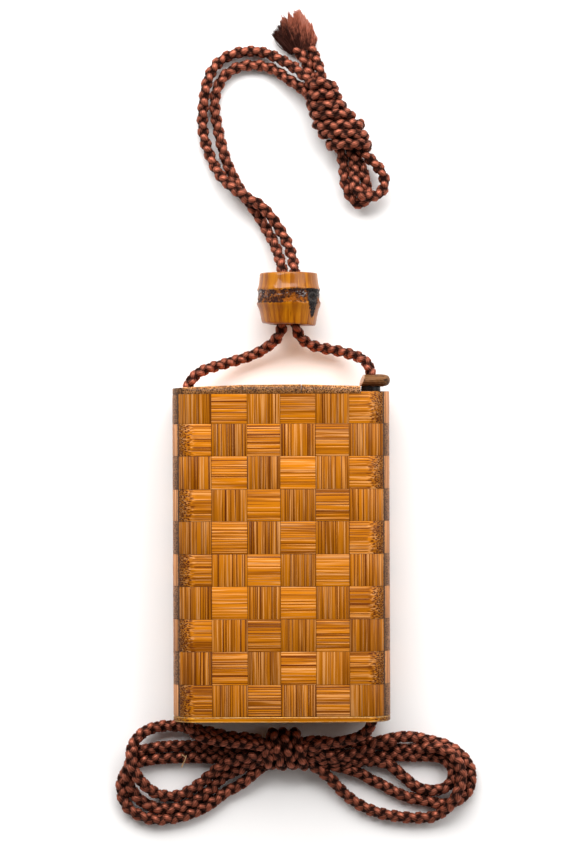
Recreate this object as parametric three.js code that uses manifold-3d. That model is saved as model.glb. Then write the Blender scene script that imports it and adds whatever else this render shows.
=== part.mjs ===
// Bamboo inro: a flat hanging case with a lift-off lid, a bead on a double cord and a bow under its base.
// Millimetres. The case lies on its back: X across it, Y along it towards the lid and the bead, Z up.
// The origin is the middle of the case's underside.

import * as THREE from 'three';
import { mergeVertices } from 'three/addons/utils/BufferGeometryUtils.js';
import Module from 'manifold-3d';

const wasm = await Module();
wasm.setup();

// ---- driving dimensions ----

const CASE_WIDTH = 60;
const CASE_THICKNESS = 20;
const CORNER_RADIUS = 6.9;
const PANEL_THICKNESS = 2.4;
const CAVITY_WIDTH = 44;

const BASE_BOTTOM_Y = -46.45;
const BASE_THICKNESS = 1.6;
const RIM_Y = 43.8;
const HIGH_RIM_Y = 44.45;
const LID_TOP_Y = 46.45;
const LID_END_X = 22;
const LID_ARCH_DROP = 1.0;
const LID_SHOULDER = 1.6;
const LIP_DEPTH = 2;
const LIP_CLEARANCE = 0.4;

const CORD_DIAMETER = 3.3;
const CORD_SIDES = 8;
const BORE_DIAMETER = 3.9;
const LEFT_BORE_X = -26;
const RIGHT_BORE_X = 25;

const COLLAR_DIAMETER = 5.4;
const COLLAR_HEIGHT = 1.3;
const BAR_LENGTH = 8.3;
const BAR_THICKNESS = 3.4;
const BAR_DEPTH = 7;
const BAR_CENTRE = [26.2, 47.55];

const BEAD_CENTRE = [2.3, 70.35];
const BEAD_NODE_RADIUS = 8.9;
const BEAD_HALF_LENGTH = 7.1;
const BEAD_BORE_RADIUS = 5.3;
const BEAD_EYE_RADIUS = 4.15;
const BEAD_CORD_X = 1.7;
const BEAD_CORD_Z = 8.1;

const BOW_HEIGHT = 6.9;
const BOW_EDGE = 1;
const KNOT_EDGE = 0.8;

const ROUND_SEGMENTS = 32;
const CORNER_SEGMENTS = 8;
const OVERCUT = 1;

// ---- finishes ----

const finish = (color, roughness) => new THREE.MeshStandardMaterial({ color, roughness, metalness: 0 });
const PARQUETRY = finish(0xc07a2a, 0.42);
const SIDE_BAMBOO = finish(0xb98a62, 0.5);
const LID_BAMBOO = finish(0xb88252, 0.5);
const BASE_BAMBOO = finish(0xbe7820, 0.45);
const TWIG_WOOD = finish(0x725038, 0.6);
const BLACK_COLLAR = finish(0x1c120e, 0.35);
const BEAD_BAMBOO = finish(0xc5841e, 0.3);
const SILK_CORD = finish(0x6b3a2c, 0.6);

// ---- helpers ----

function solidOf(geometry) {
  const bare = geometry.clone();
  bare.deleteAttribute('normal');
  bare.deleteAttribute('uv');
  const merged = mergeVertices(bare, 1e-4);
  return new wasm.Manifold(new wasm.Mesh({
    numProp: 3,
    vertProperties: new Float32Array(merged.attributes.position.array),
    triVerts: new Uint32Array(merged.index.array),
  }));
}

function geometryOf(solid) {
  const mesh = solid.getMesh();
  const geometry = new THREE.BufferGeometry();
  geometry.setAttribute('position', new THREE.BufferAttribute(mesh.vertProperties, 3));
  geometry.setIndex(new THREE.BufferAttribute(mesh.triVerts, 1));
  return geometry;
}

function named(name, geometry, material) {
  const mesh = new THREE.Mesh(geometry, material);
  mesh.name = name;
  return mesh;
}

function box(x0, x1, y0, y1, z0, z1) {
  const geometry = new THREE.BoxGeometry(x1 - x0, y1 - y0, z1 - z0);
  return geometry.translate((x0 + x1) / 2, (y0 + y1) / 2, (z0 + z1) / 2);
}

// A rod along Y, standing on y0.
function rodAlongY(x, z, radius, y0, y1) {
  const geometry = new THREE.CylinderGeometry(radius, radius, y1 - y0, ROUND_SEGMENTS);
  return geometry.translate(x, (y0 + y1) / 2, z);
}

// Extrudes a shape drawn in X and Z along Y, from y0 to y1.
function extrudeAlongY(shape, y0, y1) {
  const geometry = new THREE.ExtrudeGeometry(shape, {
    depth: y1 - y0, bevelEnabled: false, curveSegments: CORNER_SEGMENTS,
  });
  geometry.rotateX(Math.PI / 2);
  return geometry.translate(0, y1, 0);
}

// Extrudes an outline drawn in X and Y up from the table, with a chamfered top and bottom edge.
function padFrom(points, height, chamfer) {
  const shape = new THREE.Shape(points.map(([x, y]) => new THREE.Vector2(x, y)));
  const geometry = new THREE.ExtrudeGeometry(shape, {
    depth: height - 2 * chamfer, bevelEnabled: true, bevelThickness: chamfer, bevelSize: chamfer,
    bevelOffset: -chamfer, bevelSegments: 1,
  });
  return geometry.translate(0, 0, chamfer);
}

// ---- the case's cross-section ----

const HALF = CASE_WIDTH / 2;
const MID_Z = CASE_THICKNESS / 2;
const BASE_TOP_Y = BASE_BOTTOM_Y + BASE_THICKNESS;
const FLAT_HALF = HALF - CORNER_RADIUS;
const PANEL_Z = CASE_THICKNESS - PANEL_THICKNESS;
const CAVITY_HALF = CAVITY_WIDTH / 2;
const SEAM_ANGLE = Math.asin((CORNER_RADIUS - PANEL_THICKNESS) / CORNER_RADIUS);
const UPPER_CENTRE_Z = CASE_THICKNESS - CORNER_RADIUS;
const SEAM_X = FLAT_HALF + CORNER_RADIUS * Math.cos(SEAM_ANGLE);

function frontSection() {
  const shape = new THREE.Shape();
  shape.moveTo(-SEAM_X, PANEL_Z);
  shape.lineTo(SEAM_X, PANEL_Z);
  shape.absarc(FLAT_HALF, UPPER_CENTRE_Z, CORNER_RADIUS, SEAM_ANGLE, Math.PI / 2, false);
  shape.lineTo(-FLAT_HALF, CASE_THICKNESS);
  shape.absarc(-FLAT_HALF, UPPER_CENTRE_Z, CORNER_RADIUS, Math.PI / 2, Math.PI - SEAM_ANGLE, false);
  return shape;
}

function rightSection() {
  const shape = new THREE.Shape();
  shape.moveTo(CAVITY_HALF, PANEL_THICKNESS);
  shape.lineTo(SEAM_X, PANEL_THICKNESS);
  shape.absarc(FLAT_HALF, CORNER_RADIUS, CORNER_RADIUS, -SEAM_ANGLE, 0, false);
  shape.lineTo(HALF, UPPER_CENTRE_Z);
  shape.absarc(FLAT_HALF, UPPER_CENTRE_Z, CORNER_RADIUS, 0, SEAM_ANGLE, false);
  shape.lineTo(CAVITY_HALF, PANEL_Z);
  return shape;
}

function fullSection() {
  const shape = new THREE.Shape();
  shape.moveTo(-FLAT_HALF, 0);
  shape.lineTo(FLAT_HALF, 0);
  shape.absarc(FLAT_HALF, CORNER_RADIUS, CORNER_RADIUS, -Math.PI / 2, 0, false);
  shape.lineTo(HALF, UPPER_CENTRE_Z);
  shape.absarc(FLAT_HALF, UPPER_CENTRE_Z, CORNER_RADIUS, 0, Math.PI / 2, false);
  shape.lineTo(-FLAT_HALF, CASE_THICKNESS);
  shape.absarc(-FLAT_HALF, UPPER_CENTRE_Z, CORNER_RADIUS, Math.PI / 2, Math.PI, false);
  shape.lineTo(-HALF, CORNER_RADIUS);
  shape.absarc(-FLAT_HALF, CORNER_RADIUS, CORNER_RADIUS, Math.PI, 1.5 * Math.PI, false);
  return shape;
}

// Turns a shape about the Y axis through the middle of the case's thickness.
function turnedOver(geometry) {
  geometry.translate(0, 0, -MID_Z);
  geometry.rotateY(Math.PI);
  return geometry.translate(0, 0, MID_Z);
}

// ---- case pieces ----

// The boards' rim steps up past the lid's right end.
function steppedBoard(geometry) {
  const step = box(-HALF - OVERCUT, LID_END_X, RIM_Y, HIGH_RIM_Y + OVERCUT,
    -OVERCUT, CASE_THICKNESS + OVERCUT);
  return geometryOf(solidOf(geometry).subtract(solidOf(step)));
}

function frontPanel() {
  return steppedBoard(extrudeAlongY(frontSection(), BASE_TOP_Y, HIGH_RIM_Y));
}

function backPanel() {
  const board = extrudeAlongY(frontSection(), BASE_TOP_Y, HIGH_RIM_Y);
  return steppedBoard(turnedOver(board));
}

function cordBore(x, y0, y1) {
  return solidOf(rodAlongY(x, MID_Z, BORE_DIAMETER / 2, y0 - OVERCUT, y1 + OVERCUT));
}

function rightSide() {
  const block = solidOf(extrudeAlongY(rightSection(), BASE_TOP_Y, HIGH_RIM_Y));
  return geometryOf(block.subtract(cordBore(RIGHT_BORE_X, BASE_TOP_Y, HIGH_RIM_Y)));
}

function leftSide() {
  const block = solidOf(turnedOver(extrudeAlongY(rightSection(), BASE_TOP_Y, RIM_Y)));
  return geometryOf(block.subtract(cordBore(LEFT_BORE_X, BASE_TOP_Y, RIM_Y)));
}

function basePlate() {
  return geometryOf(solidOf(extrudeAlongY(fullSection(), BASE_BOTTOM_Y, BASE_TOP_Y))
    .subtract(cordBore(LEFT_BORE_X, BASE_BOTTOM_Y, BASE_TOP_Y))
    .subtract(cordBore(RIGHT_BORE_X, BASE_BOTTOM_Y, BASE_TOP_Y)));
}

// The lid's top is an arch along X.
function lidArch() {
  const shape = new THREE.Shape();
  const reach = HALF + OVERCUT;
  const steps = 16;
  shape.moveTo(-reach, RIM_Y);
  shape.lineTo(reach, RIM_Y);
  for (let i = 0; i <= steps; i += 1) {
    const x = reach - (2 * reach * i) / steps;
    shape.lineTo(x, LID_TOP_Y - LID_ARCH_DROP * (x / HALF) ** 2);
  }
  const arch = new THREE.ExtrudeGeometry(shape, { depth: CASE_THICKNESS + 2 * OVERCUT, bevelEnabled: false });
  return arch.translate(0, 0, -OVERCUT);
}

// Its front and back edges are rounded over.
function lidShoulders() {
  const shape = new THREE.Shape();
  const top = LID_TOP_Y;
  shape.moveTo(0, RIM_Y);
  shape.lineTo(0, top - LID_SHOULDER);
  shape.absarc(LID_SHOULDER, top - LID_SHOULDER, LID_SHOULDER, Math.PI, Math.PI / 2, true);
  shape.lineTo(CASE_THICKNESS - LID_SHOULDER, top);
  shape.absarc(CASE_THICKNESS - LID_SHOULDER, top - LID_SHOULDER, LID_SHOULDER, Math.PI / 2, 0, true);
  shape.lineTo(CASE_THICKNESS, RIM_Y);
  const shoulders = new THREE.ExtrudeGeometry(shape, {
    depth: CASE_WIDTH + 2 * OVERCUT, bevelEnabled: false, curveSegments: CORNER_SEGMENTS,
  });
  shoulders.rotateY(-Math.PI / 2);
  return shoulders.translate(HALF + OVERCUT, 0, 0);
}

function lid() {
  const blank = solidOf(extrudeAlongY(fullSection(), RIM_Y, LID_TOP_Y));
  const end = solidOf(box(LID_END_X, HALF + OVERCUT, RIM_Y - OVERCUT, LID_TOP_Y + OVERCUT,
    -OVERCUT, CASE_THICKNESS + OVERCUT));
  const half = CAVITY_HALF - LIP_CLEARANCE;
  const lip = solidOf(box(-half, half, RIM_Y - LIP_DEPTH, RIM_Y + OVERCUT,
    PANEL_THICKNESS + LIP_CLEARANCE, PANEL_Z - LIP_CLEARANCE));
  return geometryOf(blank.intersect(solidOf(lidArch())).intersect(solidOf(lidShoulders())).subtract(end)
    .add(lip).subtract(cordBore(LEFT_BORE_X, RIM_Y, LID_TOP_Y)));
}

// ---- pieces on the cord ----

function collar() {
  const y0 = HIGH_RIM_Y;
  const ring = solidOf(rodAlongY(RIGHT_BORE_X, MID_Z, COLLAR_DIAMETER / 2, y0, y0 + COLLAR_HEIGHT));
  return geometryOf(ring.subtract(cordBore(RIGHT_BORE_X, y0, y0 + COLLAR_HEIGHT)));
}

// A short length of twig along X, flattened, with a sawn left end and a rounded right end.
function stopBar() {
  const [x, y] = BAR_CENTRE;
  const half = BAR_LENGTH / 2;
  const profile = [
    [0, -half], [0.82, -half], [0.96, -half * 0.86], [1, -half * 0.3], [0.98, half * 0.45],
    [0.84, half * 0.8], [0.5, half * 0.95], [0, half],
  ].map(([r, t]) => new THREE.Vector2(r, t));
  const twig = new THREE.LatheGeometry(profile, ROUND_SEGMENTS);
  twig.rotateZ(-Math.PI / 2);
  twig.scale(1, BAR_THICKNESS / 2, BAR_DEPTH / 2);
  twig.translate(x, y, MID_Z);
  return geometryOf(solidOf(twig).subtract(cordBore(RIGHT_BORE_X, y - BAR_THICKNESS, y + BAR_THICKNESS)));
}

// The bead's wall, turned about Y: two open mouths, a wider node in the middle with a pierced web.
function bead() {
  const [x, y] = BEAD_CENTRE;
  const h = BEAD_HALF_LENGTH;
  const profile = [
    [BEAD_BORE_RADIUS, -h], [7.3, -h], [7.7, -h + 0.3], [8.0, -h * 0.6], [8.5, -h * 0.25],
    [BEAD_NODE_RADIUS, 0], [BEAD_NODE_RADIUS, h * 0.22], [8.5, h * 0.36], [8.3, h * 0.65],
    [8.15, h - 0.3], [7.8, h], [BEAD_BORE_RADIUS, h], [BEAD_BORE_RADIUS, h * 0.3],
    [BEAD_EYE_RADIUS, h * 0.22], [BEAD_EYE_RADIUS, -h * 0.02], [BEAD_BORE_RADIUS, -h * 0.1],
    [BEAD_BORE_RADIUS, -h],
  ].map(([r, t]) => new THREE.Vector2(r, t));
  return new THREE.LatheGeometry(profile, ROUND_SEGMENTS).translate(x, y, BEAD_NODE_RADIUS);
}

// ---- the cord: each route is the middle line of one stretch, in the order the cord runs ----

const BEAD_LEFT_X = BEAD_CENTRE[0] - BEAD_CORD_X;
const BEAD_RIGHT_X = BEAD_CENTRE[0] + BEAD_CORD_X;

// From the bow's knot through the left channel, the lid and the bead, round the arc to the end knot.
const LEFT_ROUTE = [
  [-9.4, -53.4, 9.2], [-14.5, -53, 9.3], [-19.8, -52.2, 9.4], [-23.4, -50.9, 9.6], [-25.4, -48.9, 9.9],
  [-26, -46.4, 10], [-26, -43, 10], [-26, -22, 10], [-26, 0, 10], [-26, 22, 10], [-26, 43, 10],
  [-25.9, 45.6, 10], [-25, 47.6, 9.7], [-23.3, 49.5, 8.9], [-20.8, 50.9, 7.4], [-16.9, 52.1, 5.4],
  [-12.9, 53.3, 3.8], [-9.2, 54.4, 3.3], [-5.9, 55.8, 3.6], [-3.2, 57.5, 4.8], [-1.1, 59.4, 6.3],
  [0.2, 61.8, 7.5], [BEAD_LEFT_X, 64.6, BEAD_CORD_Z], [BEAD_LEFT_X, 70.4, BEAD_CORD_Z],
  [BEAD_LEFT_X, 75.8, BEAD_CORD_Z], [0.5, 78.6, 7.3], [-0.4, 82.4, 5.2], [-1.8, 86.3, 3.3],
  [-3.5, 89.6, 2], [-5.3, 92.8, 1.7], [-7.9, 96.6, 1.7], [-10.9, 100.9, 1.7], [-13, 104.7, 1.7],
  [-14.7, 108.5, 1.7], [-16, 112.4, 1.7], [-16.9, 116.2, 1.7], [-17.7, 120.2, 1.7],
  [-18.2, 124, 1.7], [-18.1, 127.7, 1.7], [-17, 131, 1.7], [-14.8, 133.9, 1.7], [-11.6, 135.7, 1.7],
  [-7.8, 136.3, 1.7], [-4, 135.9, 1.7], [-0.8, 134.5, 2.4], [1.8, 132.5, 3.3],
];

// The same on the right, through the collar and the bar; it lies over the other strand past the bead.
const RIGHT_ROUTE = [
  [13.8, -53.2, 9.2], [17.2, -52.6, 9.3], [20.8, -51.6, 9.5], [23.5, -50, 9.8], [24.7, -48.2, 9.95],
  [25, -46.4, 10], [25, -43, 10], [25, -22, 10], [25, 0, 10], [25, 22, 10], [25, 43, 10], [25, 46, 10],
  [25, 48.7, 10], [24.9, 50.4, 9.9], [24, 52.4, 9.2], [21.8, 54.1, 7.4], [18.8, 55.2, 5.1],
  [15.3, 56.1, 3.6], [11.4, 56.8, 3.4], [8.2, 57.8, 4.4], [5.8, 59.4, 6.1], [4.5, 61.8, 7.5],
  [BEAD_RIGHT_X, 64.6, BEAD_CORD_Z], [BEAD_RIGHT_X, 70.4, BEAD_CORD_Z],
  [BEAD_RIGHT_X, 75.8, BEAD_CORD_Z], [3.9, 78.8, 7.3], [3.1, 82.8, 5.4], [1.7, 86.7, 4.1],
  [-0.3, 90.3, 3.7], [-2.6, 93.6, 4.4], [-5.5, 96.7, 5.3], [-9.1, 98.7, 5.6], [-12.6, 101.2, 5.2],
  [-15.8, 104.1, 3.7], [-18.1, 107.5, 2.1], [-19.8, 111.3, 1.7], [-21.1, 115.3, 1.7],
  [-21.7, 119.6, 2], [-21.5, 123.8, 2.7], [-21, 127.8, 3.5], [-20.2, 131.6, 3.6],
  [-18.6, 135.2, 2.7], [-15.8, 138.1, 1.7], [-12.1, 139.7, 1.7], [-8.1, 140.2, 1.7], [-4.3, 139.7, 2.3],
  [-0.9, 138.2, 3.6], [2.2, 136.4, 4.6],
];

function cordTube(route, steps) {
  const curve = new THREE.CatmullRomCurve3(route.map((point) => new THREE.Vector3(...point)));
  const section = new THREE.Shape();
  const radius = CORD_DIAMETER / 2;
  for (let side = 0; side < CORD_SIDES; side += 1) {
    const angle = (2 * Math.PI * side) / CORD_SIDES;
    const point = [radius * Math.cos(angle), radius * Math.sin(angle)];
    if (side === 0) section.moveTo(...point);
    else section.lineTo(...point);
  }
  return new THREE.ExtrudeGeometry(section, { steps, extrudePath: curve, bevelEnabled: false });
}

// ---- outer shapes of the knots, the bow's loops and the tuft ----

// A rounded bundle that lies on the table, longest along the given direction in plan.
function bundle(x, y, length, radius, height, heading) {
  const capsule = new THREE.CapsuleGeometry(radius, length - 2 * radius, 4, 16);
  capsule.rotateZ(-Math.PI / 2);
  capsule.scale(1, 1, height / (2 * radius));
  capsule.rotateZ(heading);
  return capsule.translate(x, y, height / 2);
}

const bowKnot = bundle(2.2, -55.2, 19, 5.6, 9.6, 0);

const LEFT_LOOPS = [
  [-7.6, -50.9], [-16, -48.6], [-26, -47.3], [-34, -47.4], [-40, -49.8], [-43.4, -54.6], [-44.6, -60],
  [-46.6, -66.5], [-45.8, -72.4], [-41, -76.4], [-33.4, -77.6], [-25.4, -75.2], [-17.6, -70.6],
  [-11, -65.6], [-7.6, -62.2],
];

const RIGHT_LOOPS = [
  [12, -50.9], [20, -51.2], [27, -51.4], [34.5, -50.4], [43, -51.4], [50.6, -55.4], [54.6, -61.4],
  [54.2, -67.6], [50.4, -73.2], [45.2, -76], [38, -76.4], [30, -75.6], [22.4, -72.2], [15.6, -67],
  [12, -62.4],
];

const KNOT_LOOPS = [
  [14.2, 113.5], [15.6, 107], [16.6, 100.6], [19.4, 96.6], [24.4, 95.8], [28.6, 98.6], [30.9, 103],
  [30.6, 107.6], [27.6, 111.4], [24, 114.5], [18.5, 116],
];

// The end knot is a slanting column of wraps, with two short loops hanging out of its lower end.
function endKnot() {
  const wraps = bundle(15.2, 122.4, 30, 5.8, 10.4, -0.955);
  return geometryOf(solidOf(wraps).add(solidOf(padFrom(KNOT_LOOPS, 6.6, KNOT_EDGE))));
}

const TUFT_HEIGHT = 5.2;
const TUFT = [
  [4.9, 139.6], [8.9, 137.6], [12.4, 138.4], [11.4, 143.6], [9.2, 149.2], [5.4, 152.2], [0.6, 149.2],
  [-2.2, 144.8], [1.2, 141.4],
];

// ---- assembly ----

const inro = new THREE.Group();
inro.add(
  named('front_panel', frontPanel(), PARQUETRY),
  named('back_panel', backPanel(), PARQUETRY),
  named('left_side', leftSide(), SIDE_BAMBOO),
  named('right_side', rightSide(), SIDE_BAMBOO),
  named('base_plate', basePlate(), BASE_BAMBOO),
  named('lid', lid(), LID_BAMBOO),
  named('cord_stop_collar', collar(), BLACK_COLLAR),
  named('cord_stop_bar', stopBar(), TWIG_WOOD),
  named('ojime_bead', bead(), BEAD_BAMBOO),
  named('cord_left', cordTube(LEFT_ROUTE, 56), SILK_CORD),
  named('cord_right', cordTube(RIGHT_ROUTE, 58), SILK_CORD),
  named('bow_knot', bowKnot, SILK_CORD),
  named('bow_loops_left', padFrom(LEFT_LOOPS, BOW_HEIGHT, BOW_EDGE), SILK_CORD),
  named('bow_loops_right', padFrom(RIGHT_LOOPS, BOW_HEIGHT, BOW_EDGE), SILK_CORD),
  named('end_knot', endKnot(), SILK_CORD),
  named('frayed_ends', padFrom(TUFT, TUFT_HEIGHT, KNOT_EDGE), SILK_CORD),
);

export default inro;
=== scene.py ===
import math
import random

import bmesh
import bpy
from bpy.props import FloatProperty, FloatVectorProperty, IntProperty, PointerProperty
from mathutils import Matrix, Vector, noise
from mathutils.kdtree import KDTree


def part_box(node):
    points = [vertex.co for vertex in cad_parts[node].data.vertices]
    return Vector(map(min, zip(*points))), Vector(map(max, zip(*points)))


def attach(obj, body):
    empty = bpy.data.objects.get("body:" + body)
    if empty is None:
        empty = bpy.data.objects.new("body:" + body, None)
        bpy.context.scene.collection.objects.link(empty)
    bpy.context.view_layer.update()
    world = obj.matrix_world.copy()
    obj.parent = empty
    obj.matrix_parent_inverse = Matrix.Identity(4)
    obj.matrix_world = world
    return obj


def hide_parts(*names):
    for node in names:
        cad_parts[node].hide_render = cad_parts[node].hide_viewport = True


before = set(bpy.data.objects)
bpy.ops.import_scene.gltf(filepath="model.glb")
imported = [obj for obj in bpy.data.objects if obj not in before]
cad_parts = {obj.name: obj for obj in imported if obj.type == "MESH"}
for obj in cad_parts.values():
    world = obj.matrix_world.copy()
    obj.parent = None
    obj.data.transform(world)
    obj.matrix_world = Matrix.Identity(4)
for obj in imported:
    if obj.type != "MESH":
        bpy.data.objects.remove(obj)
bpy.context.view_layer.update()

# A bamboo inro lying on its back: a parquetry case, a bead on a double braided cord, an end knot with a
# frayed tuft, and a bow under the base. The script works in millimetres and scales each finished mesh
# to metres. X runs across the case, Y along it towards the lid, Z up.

bl_info = {
    "name": "Bamboo inro case",
    "version": (1, 0, 0),
    "blender": (4, 5, 0),
    "location": "3D View > Sidebar > Inro",
    "description": "Builds a parquetry inro case with its bead, braided cord, knot and bow",
    "category": "Add Mesh",
}

MM = 0.001
BODY = "root"


def node_box(name):
    """The lowest and highest corner of a node of the frame, in millimetres."""
    low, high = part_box(name)
    return [value / MM for value in low], [value / MM for value in high]


def box_centre(low, high):
    """The middle of a box, from its two corners."""
    return [(near + far) / 2 for near, far in zip(low, high)]


# ---- sizes read from the frame ----

PANEL_LOW, PANEL_HIGH = node_box("front_panel")
_, SIDE_HIGH = node_box("right_side")
BASE_LOW, BASE_HIGH = node_box("base_plate")
_, LID_HIGH = node_box("lid")
COLLAR_LOW, COLLAR_HIGH = node_box("cord_stop_collar")
BAR_LOW, BAR_HIGH = node_box("cord_stop_bar")
BEAD_LOW, BEAD_HIGH = node_box("ojime_bead")

HALF_WIDTH = SIDE_HIGH[0]
THICKNESS = PANEL_HIGH[2]
MID_Z = THICKNESS / 2
SEAM_X = PANEL_HIGH[0]
SEAM_Z = PANEL_LOW[2]
BASE_TOP = BASE_HIGH[1]
RIM = node_box("left_side")[1][1]
HIGH_RIM = PANEL_HIGH[1]
LID_END = LID_HIGH[0]
BEAD_CENTRE = box_centre(BEAD_LOW, BEAD_HIGH)
BAR_CENTRE = (*box_centre(BAR_LOW, BAR_HIGH)[:2], MID_Z)

# ---- sizes of the case ----

CORNER_RADIUS = 6.9
CAVITY_HALF = 22.0
TILE_THICKNESS = 1.4
TILE_STEP = 1.1
CORE_INSET = 1.2
CORE_GAP = 0.01
SHOULDER = 1.6
ARCH_DROP = 1.0
BORE_RADIUS = 1.95
BORE_SIDES = 48
LEFT_BORE_X = -26.0
RIGHT_BORE_X = 25.0
CUT_MARGIN = 1.0
LIP_DEPTH = 2.0
LIP_CLEARANCE = 0.4
LIP_SUNK = 0.3
COLUMN_JOINTS = (-19.1, -9.3, -0.2, 9.5, 18.7)
ROW_JOINTS = (-36.1, -27.0, -18.1, -9.1, -0.2, 8.8, 17.6, 26.7, 35.6)
LID_JOINTS = (-27.1, -10.6, 5.7)

# The way the fibres of a block run, as the number that its faces carry.
ALONG_X, ALONG_Y, ALONG_Z = 0.0, 1.0, 2.0

# ---- the braid ----

# Shares of the cord's radius: a strand's radius, how far it swings in and out, how far out its crown
# lies, below which the grooves get painted shade, and how far below that the painted shade is fully dark.
STRAND_RADIUS = 0.545
STRAND_SWING = 0.19
CROWN_REACH = 0.915
GROOVE_DEPTH = 0.20

# How much fuller a strand is on top, and how long it lingers there.
STRAND_FULLER = 0.14
STRAND_LINGER = 0.45

# The braid turns by up to the angle, and swells by up to the share, over about that many millimetres.
WANDER_ANGLE = 0.9
WANDER_LENGTH = 30
PLUMP = 0.10
PLUMP_LENGTH = 1.5

# ---- the cord's routes: the middle line of each stretch, in the order the cord runs ----

BEAD_CORD_OFF = 1.7
BEAD_LEFT_X = BEAD_CENTRE[0] - BEAD_CORD_OFF
BEAD_RIGHT_X = BEAD_CENTRE[0] + BEAD_CORD_OFF
BEAD_CORD_Z = 8.1

LEFT_IN_BOW = [(-1.4, -55.4, 7.4), (-5.2, -54.2, 8.6)]
LEFT_ROUTE = [
    (-9.4, -53.4, 9.2), (-14.5, -53, 9.3), (-19.8, -52.2, 9.4), (-23.4, -50.9, 9.6),
    (-25.4, -48.9, 9.9), (-26, -46.4, 10), (-26, -43, 10), (-26, -22, 10), (-26, 0, 10), (-26, 22, 10),
    (-26, 43, 10), (-25.9, 45.6, 10), (-25.0, 47.6, 9.7), (-23.3, 49.5, 8.9), (-20.8, 50.9, 7.4),
    (-16.9, 52.1, 5.4), (-12.9, 53.3, 3.8), (-9.2, 54.4, 3.3), (-5.9, 55.8, 3.6), (-3.2, 57.5, 4.8),
    (-1.1, 59.4, 6.3), (0.2, 61.8, 7.5), (BEAD_LEFT_X, 64.6, BEAD_CORD_Z),
    (BEAD_LEFT_X, 70.4, BEAD_CORD_Z), (BEAD_LEFT_X, 75.8, BEAD_CORD_Z), (0.5, 78.6, 7.3),
    (-0.4, 82.4, 5.2), (-1.8, 86.3, 3.3), (-3.5, 89.6, 2), (-5.3, 92.8, 1.8), (-7.9, 96.6, 1.8),
    (-10.9, 100.9, 1.8), (-13.0, 104.7, 1.8), (-14.7, 108.5, 1.8), (-16.0, 112.4, 1.8),
    (-16.9, 116.2, 1.8), (-17.7, 120.2, 1.8), (-18.2, 124.0, 1.8), (-18.1, 127.7, 1.8), (-17.0, 131.0, 1.8),
    (-14.8, 133.9, 1.8), (-11.6, 135.7, 1.8), (-7.8, 136.3, 1.8), (-4, 135.9, 1.8), (-0.8, 134.5, 2.4),
    (1.8, 132.5, 3.3),
]
LEFT_END_LOOP = [
    (4.6, 130.6, 4.0), (7.4, 128.4, 4.2), (9.9, 125.6, 4.2), (12.2, 122.6, 4.2), (14.3, 119.5, 4.2),
    (15.7, 116.4, 4.0), (16.6, 113.1, 3.4), (17.3, 110.5, 2.9), (17.9, 107.7, 2.8), (18.0, 104.8, 3.2),
    (18.5, 102.0, 3.4), (19.7, 99.3, 3.4), (21.4, 97.4, 3.4), (23.4, 97.4, 3.4), (24.4, 99.3, 3.4),
    (24.2, 102.0, 3.4), (23.7, 104.6, 3.4), (22.9, 107.4, 2.8), (21.7, 110.2, 2.3),
]
LEFT_END = [(8.8, 133.2, 2.8), (8.2, 135.2, 2.6), (7.2, 137.2, 2.6), (5.9, 139.2, 2.4), (4.8, 140.8, 2.2)]

RIGHT_IN_BOW = [(5.6, -55.2, 7.4), (9.6, -54.0, 8.6)]
RIGHT_ROUTE = [
    (13.8, -53.2, 9.2), (17.2, -52.6, 9.3), (20.8, -51.6, 9.5), (23.5, -50, 9.8), (24.7, -48.2, 9.95),
    (25, -46.4, 10), (25, -43, 10), (25, -22, 10), (25, 0, 10), (25, 22, 10), (25, 43, 10),
    (25, 46, 10), (25, 48.7, 10), (24.9, 50.4, 9.9), (24.0, 52.4, 9.2), (21.8, 54.1, 7.4),
    (18.8, 55.2, 5.1), (15.3, 56.1, 3.6), (11.4, 56.8, 3.4), (8.2, 57.8, 4.4), (5.8, 59.4, 6.1),
    (4.5, 61.8, 7.5), (BEAD_RIGHT_X, 64.6, BEAD_CORD_Z), (BEAD_RIGHT_X, 70.4, BEAD_CORD_Z),
    (BEAD_RIGHT_X, 75.8, BEAD_CORD_Z), (3.9, 78.8, 7.3), (3.1, 82.8, 5.4), (1.7, 86.7, 4.1),
    (-0.3, 90.3, 3.7), (-2.6, 93.6, 4.4), (-5.5, 96.7, 5.3), (-9.1, 98.7, 5.6), (-12.6, 101.2, 5.2),
    (-15.8, 104.1, 3.7), (-18.1, 107.5, 2.1), (-19.8, 111.3, 1.8), (-21.1, 115.3, 1.8),
    (-21.7, 119.6, 2.0), (-21.5, 123.8, 2.7), (-21.0, 127.8, 3.5), (-20.2, 131.6, 3.6),
    (-18.6, 135.2, 2.7), (-15.8, 138.1, 1.8), (-12.1, 139.7, 1.8), (-8.1, 140.2, 1.8),
    (-4.3, 139.7, 2.3), (-0.9, 138.2, 3.6), (2.2, 136.4, 4.6),
]
RIGHT_END_LOOP = [
    (5.4, 134.2, 5.0), (8.2, 131.4, 6.2), (10.6, 128.0, 6.6), (13.3, 124.2, 6.8), (16.4, 120.3, 6.6),
    (19.4, 116.4, 6.2), (22.3, 112.6, 5.4), (24.9, 109.8, 4.8), (27.2, 107.6, 4.3), (28.9, 105.0, 4.0),
    (29.2, 102.2, 3.8), (27.9, 100.0, 4.2), (25.6, 99.0, 5.4), (23.0, 99.3, 6.4), (21.2, 101.4, 6.0),
    (20.8, 104.7, 4.7), (20.8, 107.8, 3.6), (20.4, 110.8, 3.6), (18.8, 113.9, 4.2), (16.6, 117.4, 4.6),
    (14.0, 121.6, 4.9), (11.8, 126.0, 5.0), (11.2, 129.8, 5.0), (11.5, 132.8, 4.4), (11.0, 135.5, 3.4),
    (10.1, 137.9, 2.2), (9.2, 140.2, 1.8), (8.6, 141.8, 1.8),
]

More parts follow.
